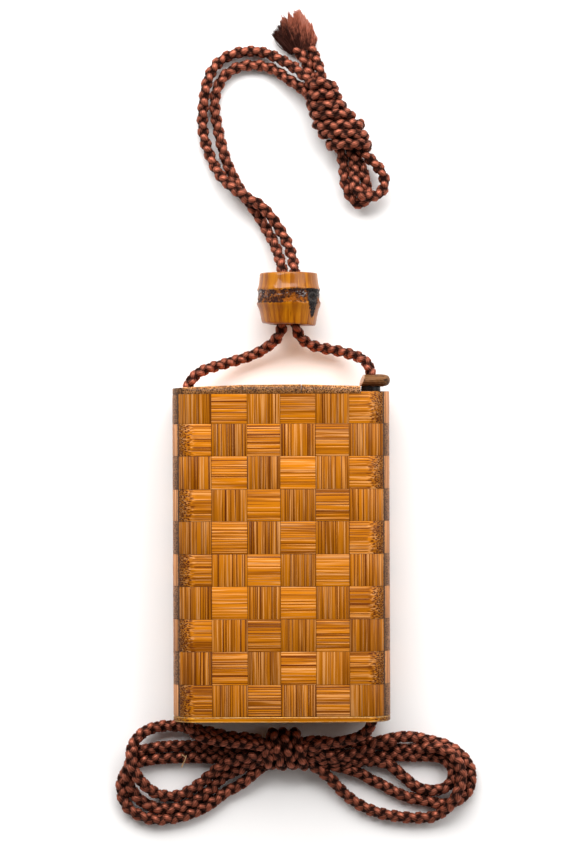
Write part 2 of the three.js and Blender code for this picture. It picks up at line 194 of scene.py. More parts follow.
# The end knot's turns, from its lower end up: middle x, middle y and reach to each side.
KNOT_TURNS = [
    (19.9, 112.2, 4.6), (18.6, 114.9, 5.2), (17.3, 117.7, 5.8), (15.4, 120.3, 5.3), (13.6, 122.8, 4.1),
    (12.5, 125.3, 3.9), (11.8, 127.9, 3.5), (12.0, 131.2, 3.2),
]
KNOT_MIDDLE_Z = 5.2
KNOT_RISE = 3.5
KNOT_SLOPE = 0.1
KNOT_SHIFT = 0.9
KNOT_SHIFT_ANGLE = 2.6
KNOT_SWELL = 0.8
KNOT_SWELL_ANGLE = 3.1
POINTS_PER_TURN = 12
KNOT_START = math.radians(-60)
KNOT_END = math.radians(-165) + 7 * math.tau

# The bow: three loops on each side, laid by turns right and left through the knot.
BOW_ROUTE = [
    (1.5, -55.6, 6.2), (6.0, -55.4, 6.6), (10.5, -56.0, 6.6), (15.0, -57.6, 6.2), (18.3, -57.1, 5.6),
    (21.1, -56.4, 5.2), (23.9, -55.3, 5.0), (27.2, -53.3, 5.0), (31.1, -52.4, 4.4), (34.4, -52.1, 3.4),
    (37.8, -52.5, 2.4), (41.0, -53.3, 1.9), (44.4, -54.1, 1.8), (47.1, -55.3, 1.8), (49.7, -57.1, 1.8),
    (51.6, -59.2, 1.8), (52.8, -61.7, 1.8), (52.9, -64.4, 1.8), (52.3, -67.2, 1.8), (50.3, -69.5, 1.8),
    (47.9, -70.8, 1.8), (45.3, -71.2, 1.8), (42.5, -70.8, 1.8), (39.7, -70.1, 1.8), (36.7, -69.7, 1.8),
    (33.7, -68.7, 1.8), (30.8, -67.4, 1.8), (28.1, -65.8, 1.8), (25.0, -64.4, 1.8), (22.1, -62.6, 2.2),
    (18.9, -61.4, 2.8), (15.6, -60.4, 3.6), (12.0, -59.5, 4.0), (6.4, -57.8, 3.4), (0.4, -57.4, 3.2),
    (-5.4, -60.4, 3.0), (-9.9, -64.0, 3.0), (-12.6, -66.0, 2.2), (-15.8, -67.6, 1.8),
    (-18.6, -69.8, 1.8), (-21.5, -71.8, 1.8), (-25.0, -73.4, 1.8), (-28.5, -74.5, 1.8),
    (-32.3, -75.1, 1.8), (-36.1, -75.3, 1.8), (-39.3, -74.4, 1.8), (-42.0, -73.0, 1.8),
    (-44.1, -70.9, 1.8), (-44.9, -68.5, 1.8), (-45.2, -66.0, 1.8), (-44.8, -63.6, 1.8),
    (-43.4, -61.4, 1.8), (-41.5, -59.7, 1.8), (-38.8, -58.9, 1.8), (-36.0, -58.4, 1.8),
    (-32.2, -58.1, 1.8), (-28.7, -58.0, 1.8), (-25.3, -58.0, 1.8), (-22.0, -58.0, 1.8),
    (-18.6, -58.1, 2.4), (-14.9, -58.0, 3.2), (-11.0, -57.3, 4.2), (-5.5, -56.2, 4.8),
    (0.5, -55.6, 4.9), (6.5, -55.8, 4.9), (12.0, -56.2, 4.6), (16.2, -56.9, 3.4), (20.4, -57.8, 2.0),
    (24.1, -58.1, 1.8), (27.4, -57.9, 1.8), (30.5, -57.6, 1.8), (33.9, -57.7, 1.8), (37.5, -57.8, 1.8),
    (41.2, -57.8, 1.8), (44.4, -58.2, 2.2), (46.7, -59.6, 2.8), (47.8, -61.8, 3.2), (47.6, -64.2, 3.2),
    (46.1, -66.2, 3.0), (43.5, -67.2, 2.6), (40.6, -67.2, 2.2), (37.6, -66.4, 1.9), (35.2, -64.5, 1.8),
    (33.1, -62.7, 1.8), (31.1, -60.8, 2.2), (28.5, -59.5, 2.6), (26.0, -58.9, 2.6), (22.9, -59.0, 2.8),
    (19.0, -59.1, 3.8), (15.0, -58.7, 5.0), (8.4, -57.6, 5.6), (1.4, -57.0, 5.7), (-4.8, -58.0, 5.2),
    (-9.6, -59.8, 4.6), (-12.3, -61.2, 3.6), (-15.2, -62.5, 2.8), (-17.9, -64.4, 2.3),
    (-19.9, -66.8, 1.9), (-22.2, -68.7, 1.8), (-24.9, -70.4, 1.8), (-28.0, -71.8, 1.8),
    (-31.2, -72.3, 1.8), (-34.6, -72.2, 1.8), (-37.7, -71.1, 1.8), (-40.5, -69.3, 1.9),
    (-42.2, -66.9, 2.2), (-43.1, -64.6, 2.8), (-43.4, -62.0, 3.4), (-42.9, -59.6, 3.6),
    (-41.8, -57.6, 3.2), (-40.2, -56.1, 2.2), (-37.7, -55.5, 2.0), (-34.4, -54.9, 2.1),
    (-29.5, -54.6, 2.2), (-24.8, -54.7, 2.2), (-20.5, -55.3, 2.3), (-16.3, -55.9, 3.0),
    (-12.1, -56.3, 4.4), (-6.0, -54.8, 5.0), (0.0, -53.9, 5.6), (5.5, -53.3, 6.6), (10.0, -52.8, 7.4),
    (13.6, -53.4, 6.4), (17.3, -53.6, 5.0), (20.7, -53.5, 3.4), (24.1, -53.6, 2.2), (27.4, -54.2, 1.8),
    (30.5, -55.2, 1.8), (33.6, -55.8, 1.8), (36.7, -55.9, 2.0), (39.7, -55.5, 3.0), (42.7, -55.1, 4.4),
    (45.6, -55.8, 5.0), (47.9, -57.5, 5.0), (49.5, -60.0, 5.0), (50.1, -62.8, 5.0), (49.7, -65.7, 5.0),
    (48.6, -68.5, 5.0), (46.9, -71.2, 4.2), (44.7, -73.5, 2.4), (42.2, -74.8, 1.8), (38.9, -75.1, 1.8),
    (35.4, -75.0, 1.8), (31.9, -74.6, 1.8), (28.3, -74.0, 1.8), (24.7, -72.8, 1.8), (21.4, -71.2, 1.8),
    (18.5, -69.1, 1.9), (16.1, -66.8, 2.3), (13.9, -64.3, 2.9), (11.4, -62.0, 3.7), (7.4, -59.2, 4.6),
    (1.5, -56.8, 6.4), (-4.0, -56.4, 6.8), (-8.4, -57.2, 6.8), (-12.1, -57.9, 6.0), (-15.6, -59.3, 5.2),
    (-18.5, -61.3, 4.2), (-20.9, -63.3, 3.2), (-23.4, -65.4, 2.4), (-25.8, -67.1, 2.0),
    (-28.5, -68.4, 1.8), (-31.1, -68.8, 1.8), (-34.3, -68.3, 2.4), (-37.3, -66.4, 4.2),
    (-39.7, -63.7, 5.8), (-41.5, -60.6, 6.6), (-42.2, -57.4, 6.6), (-41.9, -54.6, 5.8),
    (-40.5, -52.1, 4.6), (-38.3, -50.3, 3.4), (-35.4, -49.3, 2.6), (-32.1, -48.9, 2.3),
    (-28.6, -49.1, 2.6), (-25.3, -49.8, 3.0), (-21.9, -50.3, 3.8), (-18.5, -50.9, 4.8),
    (-14.8, -51.7, 5.8), (-10.9, -51.9, 6.8), (-7.6, -52.2, 7.3),
]
BOW_WRAP_Y = -55.3
BOW_WRAP_Z = 4.9
BOW_WRAP_REACH = 4.5
BOW_WRAP_RISE = 3.25
BOW_WRAP_FROM_X, BOW_WRAP_TO_X = -4.4, 6.2
BOW_WRAP_START = math.radians(-20)
BOW_WRAP_TURNS = 3.5
BOW_END = [(5.4, -54.6, 2.0), (3.4, -53.4, 2.8)]


# ---- settings that a user would change ----

def colour_property(name, description, default):
    return FloatVectorProperty(name=name, description=description, default=default, size=3,
                               min=0, max=1, subtype='COLOR')


class CaseSettings(bpy.types.PropertyGroup):
    joint_gap: FloatProperty(
        name="Joint gap", description="Width of the dark joint between two tiles",
        default=0.03 * MM, min=0, unit='LENGTH')
    tile_bevel: FloatProperty(
        name="Tile bevel", description="Width of the worn edge around each tile",
        default=0.07 * MM, min=0, unit='LENGTH')
    bundle_spacing: FloatProperty(
        name="Bundle spacing", description="Distance between two fibre bundles in the bamboo",
        default=0.40 * MM, min=0, unit='LENGTH')
    pale: colour_property("Pale bamboo", "Pale streaks of the golden tiles", (0.58, 0.25, 0.07))
    middle: colour_property("Golden bamboo", "Ground of the golden tiles", (0.45, 0.14, 0.002))
    dark: colour_property("Dark fibres", "Fibre bundles of the golden tiles", (0.085, 0.012, 0.0))


class CordSettings(bpy.types.PropertyGroup):
    diameter: FloatProperty(
        name="Diameter", description="Outer diameter of the braided cord",
        default=3.5 * MM, min=0, unit='LENGTH')
    bow_diameter: FloatProperty(
        name="Bow diameter", description="Outer diameter of the cord where it lies slack in the bow",
        default=3.7 * MM, min=0, unit='LENGTH')
    pitch: FloatProperty(
        name="Braid pitch", description="Length of one full turn of a strand round the cord",
        default=6.8 * MM, min=0, unit='LENGTH')
    steps: IntProperty(
        name="Steps", description="Points along each strand for one full turn", default=12, min=6)
    colour: colour_property("Silk", "Ground colour of the cord", (0.345, 0.096, 0.054))
    # The colour of the painted shade between the strands, not a darker silk.
    deep: colour_property("Painted groove shade", "Colour between the strands", (0.012, 0.002, 0.001))


class StageSettings(bpy.types.PropertyGroup):
    lens: FloatProperty(
        name="Lens", description="Focal length of the camera", default=120, min=1, unit='CAMERA')
    height: FloatProperty(
        name="Camera height", description="Height of the camera over the table",
        default=0.810, min=0.01, unit='LENGTH')
    roll: FloatProperty(
        name="Camera roll", description="Turn of the camera about the view",
        default=math.radians(-0.22), unit='ROTATION')
    key: FloatProperty(
        name="Key power", description="Power of the softbox over the lid's end", default=10.0, min=0,
        unit='POWER')
    fill: FloatProperty(
        name="Fill power", description="Power of the weaker softbox on the right", default=2.2, min=0,
        unit='POWER')
    surround: FloatProperty(
        name="Surround", description="Brightness of the white tent round the table", default=0.60, min=0)


class PANEL_PT_inro(bpy.types.Panel):
    """Lists the makers of the inro's pieces, with their settings"""
    bl_idname = "PANEL_PT_inro"
    bl_label = "Inro"
    bl_space_type = 'VIEW_3D'
    bl_region_type = 'UI'
    bl_category = "Inro"

    def draw(self, context):
        layout = self.layout
        for group in (context.scene.inro_case, context.scene.inro_cord, context.scene.inro_stage):
            box = layout.box()
            for name in group.__annotations__:
                box.prop(group, name)
        for maker in MAKERS:
            layout.operator(maker.bl_idname)


# ---- node helpers ----

def fill_inputs(tree, node, inputs):
    """Fill a node's inputs with values or with other nodes' outputs."""
    for socket, value in inputs.items():
        if isinstance(value, bpy.types.NodeSocket):
            tree.links.new(value, node.inputs[socket])
        else:
            node.inputs[socket].default_value = value


def add_node(tree, kind, inputs=None, **settings):
    """Add a node, set its settings, and fill its inputs."""
    node = tree.nodes.new(kind)
    for name, value in settings.items():
        setattr(node, name, value)
    fill_inputs(tree, node, inputs or {})
    return node


def calc(tree, operation, first, second=0.5, third=0.5, clamp=False):
    node = add_node(tree, "ShaderNodeMath", {0: first, 1: second, 2: third},
                    operation=operation, use_clamp=clamp)
    return node.outputs[0]


def vector_calc(tree, operation, first, second=None, scale=None):
    inputs = {0: first}
    if second is not None:
        inputs[1] = second
    if scale is not None:
        inputs["Scale"] = scale
    node = add_node(tree, "ShaderNodeVectorMath", inputs, operation=operation)
    return node.outputs["Value" if operation in {'DOT_PRODUCT', 'LENGTH'} else "Vector"]


def split(tree, vector):
    return add_node(tree, "ShaderNodeSeparateXYZ", {0: vector}).outputs


def join(tree, x, y, z=0.0):
    return add_node(tree, "ShaderNodeCombineXYZ", {0: x, 1: y, 2: z}).outputs[0]


def opaque(colour):
    """A colour of three numbers with a full fourth; another node's output stays as it is."""
    return colour if isinstance(colour, bpy.types.NodeSocket) else (*colour, 1)


def mix_colour(tree, factor, first, second):
    node = add_node(tree, "ShaderNodeMix", {0: factor, 6: opaque(first), 7: opaque(second)},
                    data_type='RGBA')
    return node.outputs[2]


def mix_vector(tree, factor, first, second):
    node = add_node(tree, "ShaderNodeMix", {0: factor, 4: first, 5: second}, data_type='VECTOR')
    return node.outputs[1]


def mix_value(tree, factor, first, second):
    return add_node(tree, "ShaderNodeMix", {0: factor, 2: first, 3: second}).outputs[0]


def spread(tree, value, low, high, to_low=0.0, to_high=1.0):
    """Stretch the range low..high of a value smoothly to another range."""
    node = add_node(tree, "ShaderNodeMapRange", {0: value, 1: low, 2: high, 3: to_low, 4: to_high},
                    interpolation_type='SMOOTHSTEP')
    return node.outputs[0]


def noise_value(tree, vector, scale, detail=2.0, roughness=0.5):
    node = add_node(tree, "ShaderNodeTexNoise",
                    {"Vector": vector, "Scale": scale, "Detail": detail, "Roughness": roughness})
    return node.outputs["Fac"]


def new_group(name, inputs, outputs):
    """A shader node group with the given sockets, what it is given, and its output node."""
    tree = bpy.data.node_groups.new(name, 'ShaderNodeTree')
    for label, kind in inputs:
        tree.interface.new_socket(label, in_out='INPUT', socket_type=kind)
    for label, kind in outputs:
        tree.interface.new_socket(label, in_out='OUTPUT', socket_type=kind)
    return tree, tree.nodes.new("NodeGroupInput").outputs, tree.nodes.new("NodeGroupOutput")


FLOAT_SOCKET = "NodeSocketFloat"
VECTOR_SOCKET = "NodeSocketVector"
COLOUR_SOCKET = "NodeSocketColor"


def place_group(tree, name, inputs):
    """A shared effect in a material, with the material's own values."""
    return add_node(tree, "ShaderNodeGroup", inputs, node_tree=bpy.data.node_groups[name]).outputs


# ---- shared effects ----

def build_grain_group():
    """Bamboo: long fibre bundles in a banded ground, cut along or across by the surface."""
    tree, given, result = new_group(
        "Bamboo grain",
        [("Vector", VECTOR_SOCKET), ("Normal", VECTOR_SOCKET), ("Direction", FLOAT_SOCKET),
         ("Seed", FLOAT_SOCKET), ("Tone", FLOAT_SOCKET), ("Spacing", FLOAT_SOCKET),
         ("Pale", COLOUR_SOCKET), ("Middle", COLOUR_SOCKET), ("Dark", COLOUR_SOCKET)],
        [("Color", COLOUR_SOCKET), ("Fibres", FLOAT_SOCKET), ("Height", FLOAT_SOCKET)])
    x, y, z = split(tree, given["Vector"])
    is_y = calc(tree, 'COMPARE', given["Direction"], ALONG_Y, 0.3)
    is_z = calc(tree, 'COMPARE', given["Direction"], ALONG_Z, 0.3)
    turned = mix_vector(tree, is_y, join(tree, x, y, z), join(tree, y, x, z))
    turned = mix_vector(tree, is_z, turned, join(tree, z, x, y))
    offset = vector_calc(tree, 'SCALE', (31.7, 17.3, 23.9), scale=given["Seed"])
    placed = vector_calc(tree, 'ADD', turned, offset)

    waviness = add_node(tree, "ShaderNodeTexNoise", {
        "Vector": vector_calc(tree, 'MULTIPLY', placed, (0.05, 0.3, 0.3)), "Scale": 1.0, "Detail": 1.0,
    }).outputs["Color"]
    sway = vector_calc(tree, 'MULTIPLY', vector_calc(tree, 'SUBTRACT', waviness, (0.5, 0.5, 0.5)),
                       (0.0, 0.30, 0.30))
    grown = vector_calc(tree, 'ADD', placed, sway)

    tight = calc(tree, 'DIVIDE', 1.0, given["Spacing"])
    _, across, through = split(tree, grown)
    pack = join(tree, calc(tree, 'MULTIPLY', across, tight), calc(tree, 'MULTIPLY', through, tight))
    cells = add_node(tree, "ShaderNodeTexVoronoi", {
        "Vector": pack, "Scale": 1.0, "Randomness": 0.8}, voronoi_dimensions='2D').outputs
    chance = add_node(tree, "ShaderNodeSeparateColor", {0: cells["Color"]}).outputs
    radius = calc(tree, 'MULTIPLY_ADD', chance[0], 0.14, 0.20)
    bundles = spread(tree, cells["Distance"], calc(tree, 'ADD', radius, 0.12), radius)

    is_x = calc(tree, 'SUBTRACT', 1.0, calc(tree, 'ADD', is_y, is_z))
    axis = join(tree, is_x, is_y, is_z)
    facing = calc(tree, 'ABSOLUTE', vector_calc(tree, 'DOT_PRODUCT', given["Normal"], axis))
    weight = calc(tree, 'MAXIMUM', calc(tree, 'MULTIPLY_ADD', chance[1], 0.6, 0.38),
                  spread(tree, facing, 0.08, 0.36))
    strength = calc(tree, 'MULTIPLY', bundles, weight)

    fibres = noise_value(tree, vector_calc(tree, 'MULTIPLY', grown, (0.03, 2.1, 1.6)), 1.0, 3.0, 0.7)
    bands = noise_value(tree, vector_calc(tree, 'MULTIPLY', grown, (0.02, 0.5, 0.4)), 1.0, 2.0, 0.55)
    ground = mix_colour(tree, spread(tree, fibres, 0.50, 0.61), given["Middle"], given["Pale"])
    shaded = spread(tree, calc(tree, 'ADD', calc(tree, 'MULTIPLY', bands, 0.6),
                               calc(tree, 'MULTIPLY', fibres, 0.4)), 0.52, 0.36, 0.0, 0.55)
    ground = mix_colour(tree, shaded, ground, given["Dark"])
    coloured = mix_colour(tree, strength, ground, given["Dark"])

    end_grain = spread(tree, facing, 0.10, 0.70, 1.0, 0.42)
    toned = vector_calc(tree, 'SCALE', coloured, scale=calc(tree, 'MULTIPLY', end_grain, given["Tone"]))
    height = calc(tree, 'SUBTRACT', calc(tree, 'MULTIPLY', fibres, 0.6),
                  calc(tree, 'MULTIPLY', strength, 0.7))
    fill_inputs(tree, result, {"Color": toned, "Fibres": fibres, "Height": height})


def build_edge_group():
    """Colour along the edges that the mesh marks, broken up by a fine noise: dark, worn and grimy on most
    pieces, and a pale painted highlight on the base.
    """
    tree, given, result = new_group(
        "Edge marks",
        [("Color", COLOUR_SOCKET), ("Edge", FLOAT_SOCKET), ("Vector", VECTOR_SOCKET),
         ("Wear and highlight", COLOUR_SOCKET), ("Amount", FLOAT_SOCKET)],
        [("Color", COLOUR_SOCKET)])
    patchy = spread(tree, noise_value(tree, given["Vector"], 0.9, 3.0, 0.6), 0.30, 0.62, 0.15, 1.0)
    mask = calc(tree, 'MULTIPLY', calc(tree, 'MULTIPLY', given["Edge"], patchy), given["Amount"], clamp=True)
    fill_inputs(tree, result, {"Color": mix_colour(tree, mask, given["Color"], given["Wear and highlight"])})


def build_thread_group():
    """Fine parallel threads that run along a strand, from the strand's own UV map in millimetres, darkened by
    painted shade in the grooves between the threads and, from the depth mark, between the strands.
    """
    tree, given, result = new_group(
        "Silk threads",
        [("UV", VECTOR_SOCKET), ("Vector", VECTOR_SOCKET), ("Threads", FLOAT_SOCKET),
         ("Depth", FLOAT_SOCKET), ("Silk", COLOUR_SOCKET), ("Groove shade", COLOUR_SOCKET)],
        [("Color", COLOUR_SOCKET), ("Height", FLOAT_SOCKET), ("Roughness", FLOAT_SOCKET)])
    along, around, _ = split(tree, given["UV"])
    lean = calc(tree, 'MULTIPLY', along, 0.22)
    phase = calc(tree, 'ADD', calc(tree, 'MULTIPLY', around, given["Threads"]), lean)
    wave = calc(tree, 'SINE', calc(tree, 'MULTIPLY', phase, math.tau))
    ridge = calc(tree, 'MULTIPLY_ADD', wave, 0.5, 0.5)
    mottled = noise_value(tree, given["Vector"], 0.45, 2.0, 0.6)
    fuzz = noise_value(tree, given["Vector"], 4.0, 2.0, 0.6)
    # Painted shade in the grooves between the threads.
    thread_groove_shade = calc(tree, 'MULTIPLY', calc(tree, 'SUBTRACT', 1.0, ridge), 0.36)
    shade = calc(tree, 'ADD', thread_groove_shade, spread(tree, mottled, 0.35, 0.75, -0.1, 0.26))
    # Painted shade between the strands, from the depth mark.
    shade = calc(tree, 'ADD', shade, given["Depth"], clamp=True)
    satin = spread(tree, fuzz, 0.3, 0.7, 0.29, 0.42)
    fill_inputs(tree, result, {
        "Color": mix_colour(tree, shade, given["Silk"], given["Groove shade"]),
        "Height": calc(tree, 'ADD', ridge, calc(tree, 'MULTIPLY', fuzz, 0.5)),
        "Roughness": calc(tree, 'MULTIPLY_ADD', given["Depth"], 0.5, satin)})


# ---- materials ----

def start_material(name):
    """A new material, its tree and shader, its coordinates, and its place in millimetres."""
    material = bpy.data.materials.new(name)
    material.use_nodes = True
    tree = material.node_tree
    shader = tree.nodes["Principled BSDF"]
    coordinates = tree.nodes.new("ShaderNodeTexCoord").outputs
    millimetres = vector_calc(tree, 'SCALE', coordinates["Object"], scale=1 / MM)
    return material, tree, shader, coordinates, millimetres


def mark(tree, name):
    """A number that the mesh carries on its faces."""
    return add_node(tree, "ShaderNodeAttribute", attribute_name=name).outputs["Fac"]


def bump(tree, height, strength, distance):
    """The normal of a surface with a fine relief, whose distance is in millimetres."""
    inputs = {"Height": height, "Strength": strength, "Distance": distance * MM}
    return add_node(tree, "ShaderNodeBump", inputs).outputs["Normal"]


def bamboo_material(name, pale, middle, dark, spacing, wear_and_highlight, wear_and_highlight_amount, roughness, coat, seam):
    """Finished bamboo: grain turned block by block, marked edges, a thin coat of lacquer."""
    material, tree, shader, coordinates, millimetres = start_material(name)
    grain = place_group(tree, "Bamboo grain", {
        "Vector": millimetres, "Normal": coordinates["Normal"], "Direction": mark(tree, "direction"),
        "Seed": mark(tree, "seed"), "Tone": mark(tree, "tone"), "Spacing": spacing,
        "Pale": opaque(pale), "Middle": opaque(middle), "Dark": opaque(dark)})
    # The edge colour is dark and worn on most pieces; on the base it is a pale painted highlight.
    worn = place_group(tree, "Edge marks", {
        "Color": grain["Color"], "Edge": mark(tree, "edge"), "Vector": millimetres,
        "Wear and highlight": opaque(wear_and_highlight), "Amount": wear_and_highlight_amount})["Color"]
    if seam:
        # A dark ragged line along the seam between the boards and the sides.
        x, _, _ = split(tree, millimetres)
        off = calc(tree, 'ABSOLUTE', calc(tree, 'SUBTRACT', calc(tree, 'ABSOLUTE', x), SEAM_X - 0.05))
        ragged = calc(tree, 'MULTIPLY', noise_value(tree, millimetres, 1.6, 3.0, 0.7), 0.5)
        seam_line = spread(tree, calc(tree, 'ADD', off, ragged), 0.54, 0.34, 0.0, 0.92)
        worn = mix_colour(tree, seam_line, worn, (0.034, 0.019, 0.012))
    fill_inputs(tree, shader, {
        "Base Color": worn,
        "Roughness": spread(tree, grain["Fibres"], 0.3, 0.7, roughness - 0.05, roughness + 0.1),
        "Normal": bump(tree, grain["Height"], 0.5, 0.06),
        "Specular IOR Level": 0.12, "Coat Weight": coat, "Coat Roughness": 0.2})
    return material


def cord_material(name, settings, threads):
    """Braided silk: fine threads on each strand, with painted shade between the threads and between the
    strands.
    """
    material, tree, shader, coordinates, millimetres = start_material(name)
    # The depth mark and the deep colour paint shade between the strands.
    silk = place_group(tree, "Silk threads", {
        "UV": coordinates["UV"], "Vector": millimetres, "Threads": threads, "Depth": mark(tree, "depth"),
        "Silk": opaque(settings.colour), "Groove shade": opaque(settings.deep)})
    fill_inputs(tree, shader, {
        "Base Color": silk["Color"], "Roughness": silk["Roughness"],
        "Normal": bump(tree, silk["Height"], 0.55, 0.05),
        "Metallic": 0.5, "Specular IOR Level": 0.35, "Specular Tint": (1.0, 0.62, 0.52, 1)})
    return material


def tuft_material(name, settings):
    """Loose silk fibres: darker at the root, paler towards the cut ends, with a painted pinkish highlight at
    the upper right.
    """
    material, tree, shader, _, millimetres = start_material(name)
    from_root = vector_calc(tree, 'SUBTRACT', millimetres, (3.0, 143.0, 0))
    # Paler towards the upper right and upwards: a painted highlight towards the cut ends.
    out = vector_calc(tree, 'DOT_PRODUCT', from_root, (0.085, 0.10, 0.03))
    clumps = noise_value(tree, vector_calc(tree, 'MULTIPLY', millimetres, (1.0, 0.3, 0.6)), 0.7, 2.0, 0.6)
    hairs = noise_value(tree, vector_calc(tree, 'MULTIPLY', millimetres, (1.0, 0.25, 1.0)), 4.0, 2.0, 0.6)
    painted_light_level = calc(tree, 'ADD', out, calc(tree, 'MULTIPLY_ADD', clumps, 1.5, -0.75))
    painted_light_level = calc(tree, 'ADD', painted_light_level, calc(tree, 'MULTIPLY_ADD', hairs, 1.1, -1.02))
    silk_colour = mix_colour(tree, spread(tree, painted_light_level, -0.25, 0.45), (0.030, 0.006, 0.003), settings.colour)
    # The pale pinkish colour that the tips turn to is a painted highlight.
    painted_highlight_colour = mix_colour(tree, spread(tree, painted_light_level, 0.35, 1.0), silk_colour, (0.50, 0.22, 0.16))
    fill_inputs(tree, shader, {"Base Color": painted_highlight_colour, "Roughness": 0.6, "Specular IOR Level": 0.2})
    return material


def bead_material(name):
    """Polished bamboo culm: amber streaks, a charred node band with glossy pits and a dark bud scar."""
    material, tree, shader, _, millimetres = start_material(name)
    middle_x, middle_y, middle_z = BEAD_CENTRE
    from_axis = vector_calc(tree, 'SUBTRACT', millimetres, (middle_x, 0, middle_z))
    around = vector_calc(tree, 'NORMALIZE', vector_calc(tree, 'MULTIPLY', from_axis, (1, 0, 1)))
    skin = vector_calc(tree, 'ADD', vector_calc(tree, 'SCALE', around, scale=8.5),
                       vector_calc(tree, 'MULTIPLY', from_axis, (0, 0.06, 0)))
    broad = noise_value(tree, skin, 0.8, 2.0, 0.5)
    fine = noise_value(tree, skin, 3.2, 3.0, 0.65)
    amber = mix_colour(tree, spread(tree, broad, 0.38, 0.66), (0.235, 0.064, 0.0005), (0.39, 0.132, 0.002))
    amber = mix_colour(tree, spread(tree, fine, 0.46, 0.30, 0.0, 0.7), amber, (0.11, 0.023, 0.0005))
    amber = mix_colour(tree, spread(tree, fine, 0.58, 0.75, 0.0, 0.6), amber, (0.56, 0.235, 0.02))

    char = mark(tree, "char")
    ragged = noise_value(tree, vector_calc(tree, 'MULTIPLY', millimetres, (1.0, 0.7, 1.0)), 1.1, 4.0, 0.6)
    edge = calc(tree, 'ADD', char, calc(tree, 'MULTIPLY_ADD', ragged, 1.5, -0.75))
    burnt = spread(tree, edge, 0.42, 0.58)
    ember = noise_value(tree, millimetres, 0.5, 3.0, 0.6)
    x, y, _ = split(tree, millimetres)
    warmer = calc(tree, 'MULTIPLY', spread(tree, y, middle_y + 1.2, middle_y - 1.0, 0.0, 0.16),
                  spread(tree, x, middle_x - 4, middle_x + 1))
    glow = spread(tree, calc(tree, 'ADD', ember, warmer), 0.50, 0.66)
    charred = mix_colour(tree, glow, (0.028, 0.006, 0.002), (0.25, 0.066, 0.001))
    scar = mark(tree, "scar")
    from_bud = vector_calc(tree, 'SUBTRACT', from_axis, (6.7, middle_y + 0.3, 0))
    bud_ring = vector_calc(tree, 'LENGTH', vector_calc(tree, 'MULTIPLY', from_bud, (1, 1, 0)))
    off_ring = calc(tree, 'ABSOLUTE', calc(tree, 'SUBTRACT', bud_ring, 1.15))
    scarred = mix_colour(tree, spread(tree, off_ring, 0.32, 0.12),
                         (0.006, 0.004, 0.004), (0.032, 0.028, 0.026))
    charred = mix_colour(tree, scar, charred, scarred)
    pits = noise_value(tree, millimetres, 1.9, 3.0, 0.65)
    beads_of_gloss = spread(tree, pits, 0.50, 0.62, 0.55, 0.16)
    sparkle = calc(tree, 'MULTIPLY', spread(tree, pits, 0.50, 0.58), calc(tree, 'SUBTRACT', 1.0, scar))
    sparkle = calc(tree, 'MULTIPLY', sparkle, spread(tree, y, middle_y - 0.3, middle_y + 0.5))
    relief = calc(tree, 'ADD', calc(tree, 'MULTIPLY', fine, 0.10),
                  calc(tree, 'MULTIPLY', pits, calc(tree, 'MULTIPLY', burnt, 2.6)))
    fill_inputs(tree, shader, {
        "Base Color": mix_colour(tree, burnt, amber, charred),
        "Roughness": mix_value(tree, burnt, 0.34, beads_of_gloss),
        "Coat Weight": mix_value(tree, burnt, 0.22, sparkle),
        "Normal": bump(tree, relief, 0.9, 0.3),
        "Specular IOR Level": 0.12, "Coat Roughness": 0.10, "Coat IOR": 1.75})
    return material


def twig_material(name):
    """A bare twig: olive-brown bark, with rings on its sawn end."""
    material, tree, shader, coordinates, millimetres = start_material(name)
    grain = place_group(tree, "Bamboo grain", {
        "Vector": millimetres, "Normal": coordinates["Normal"], "Direction": ALONG_X, "Seed": 1.3,
        "Tone": 1.0, "Spacing": 0.6, "Pale": (0.30, 0.135, 0.045, 1), "Middle": (0.16, 0.062, 0.016, 1),
        "Dark": (0.045, 0.02, 0.009, 1)})
    sawn = mark(tree, "sawn")
    from_axis = vector_calc(tree, 'SUBTRACT', millimetres, (0, *BAR_CENTRE[1:]))
    flat = vector_calc(tree, 'MULTIPLY', from_axis, (0.25, 1.0, 0.5))
    ring_wave = add_node(tree, "ShaderNodeTexWave", {"Vector": flat, "Scale": 0.5, "Distortion": 1.2,
                                                     "Detail": 2.0, "Detail Scale": 1.5},
                         wave_type='RINGS', rings_direction='X').outputs["Fac"]
    rings = mix_colour(tree, ring_wave, (0.62, 0.44, 0.33), (0.42, 0.26, 0.17))
    bark = mix_colour(tree, spread(tree, noise_value(tree, millimetres, 0.5, 3.0), 0.35, 0.65),
                      grain["Color"], (0.17, 0.070, 0.018))
    lumps = calc(tree, 'MULTIPLY', noise_value(tree, millimetres, 1.2), 1.5)
    fill_inputs(tree, shader, {
        "Base Color": mix_colour(tree, sawn, bark, rings),
        "Roughness": spread(tree, grain["Fibres"], 0.3, 0.7, 0.45, 0.62),
        "Normal": bump(tree, calc(tree, 'ADD', grain["Height"], lumps), 0.8, 0.22),
        "Specular IOR Level": 0.2})
    return material


def collar_material(name):
    """Black lacquered horn with faint turning lines and dust."""
    material, tree, shader, _, millimetres = start_material(name)
    lines = noise_value(tree, vector_calc(tree, 'MULTIPLY', millimetres, (0.4, 9.0, 0.4)), 1.0, 2.0)
    dust = spread(tree, noise_value(tree, millimetres, 2.2, 3.0, 0.6), 0.52, 0.72)
    fill_inputs(tree, shader, {
        "Base Color": mix_colour(tree, dust, (0.004, 0.003, 0.003), (0.016, 0.012, 0.010)),
        "Roughness": spread(tree, lines, 0.3, 0.7, 0.22, 0.36),
        "Normal": bump(tree, lines, 0.3, 0.04),
        "Specular IOR Level": 0.15})
    return material


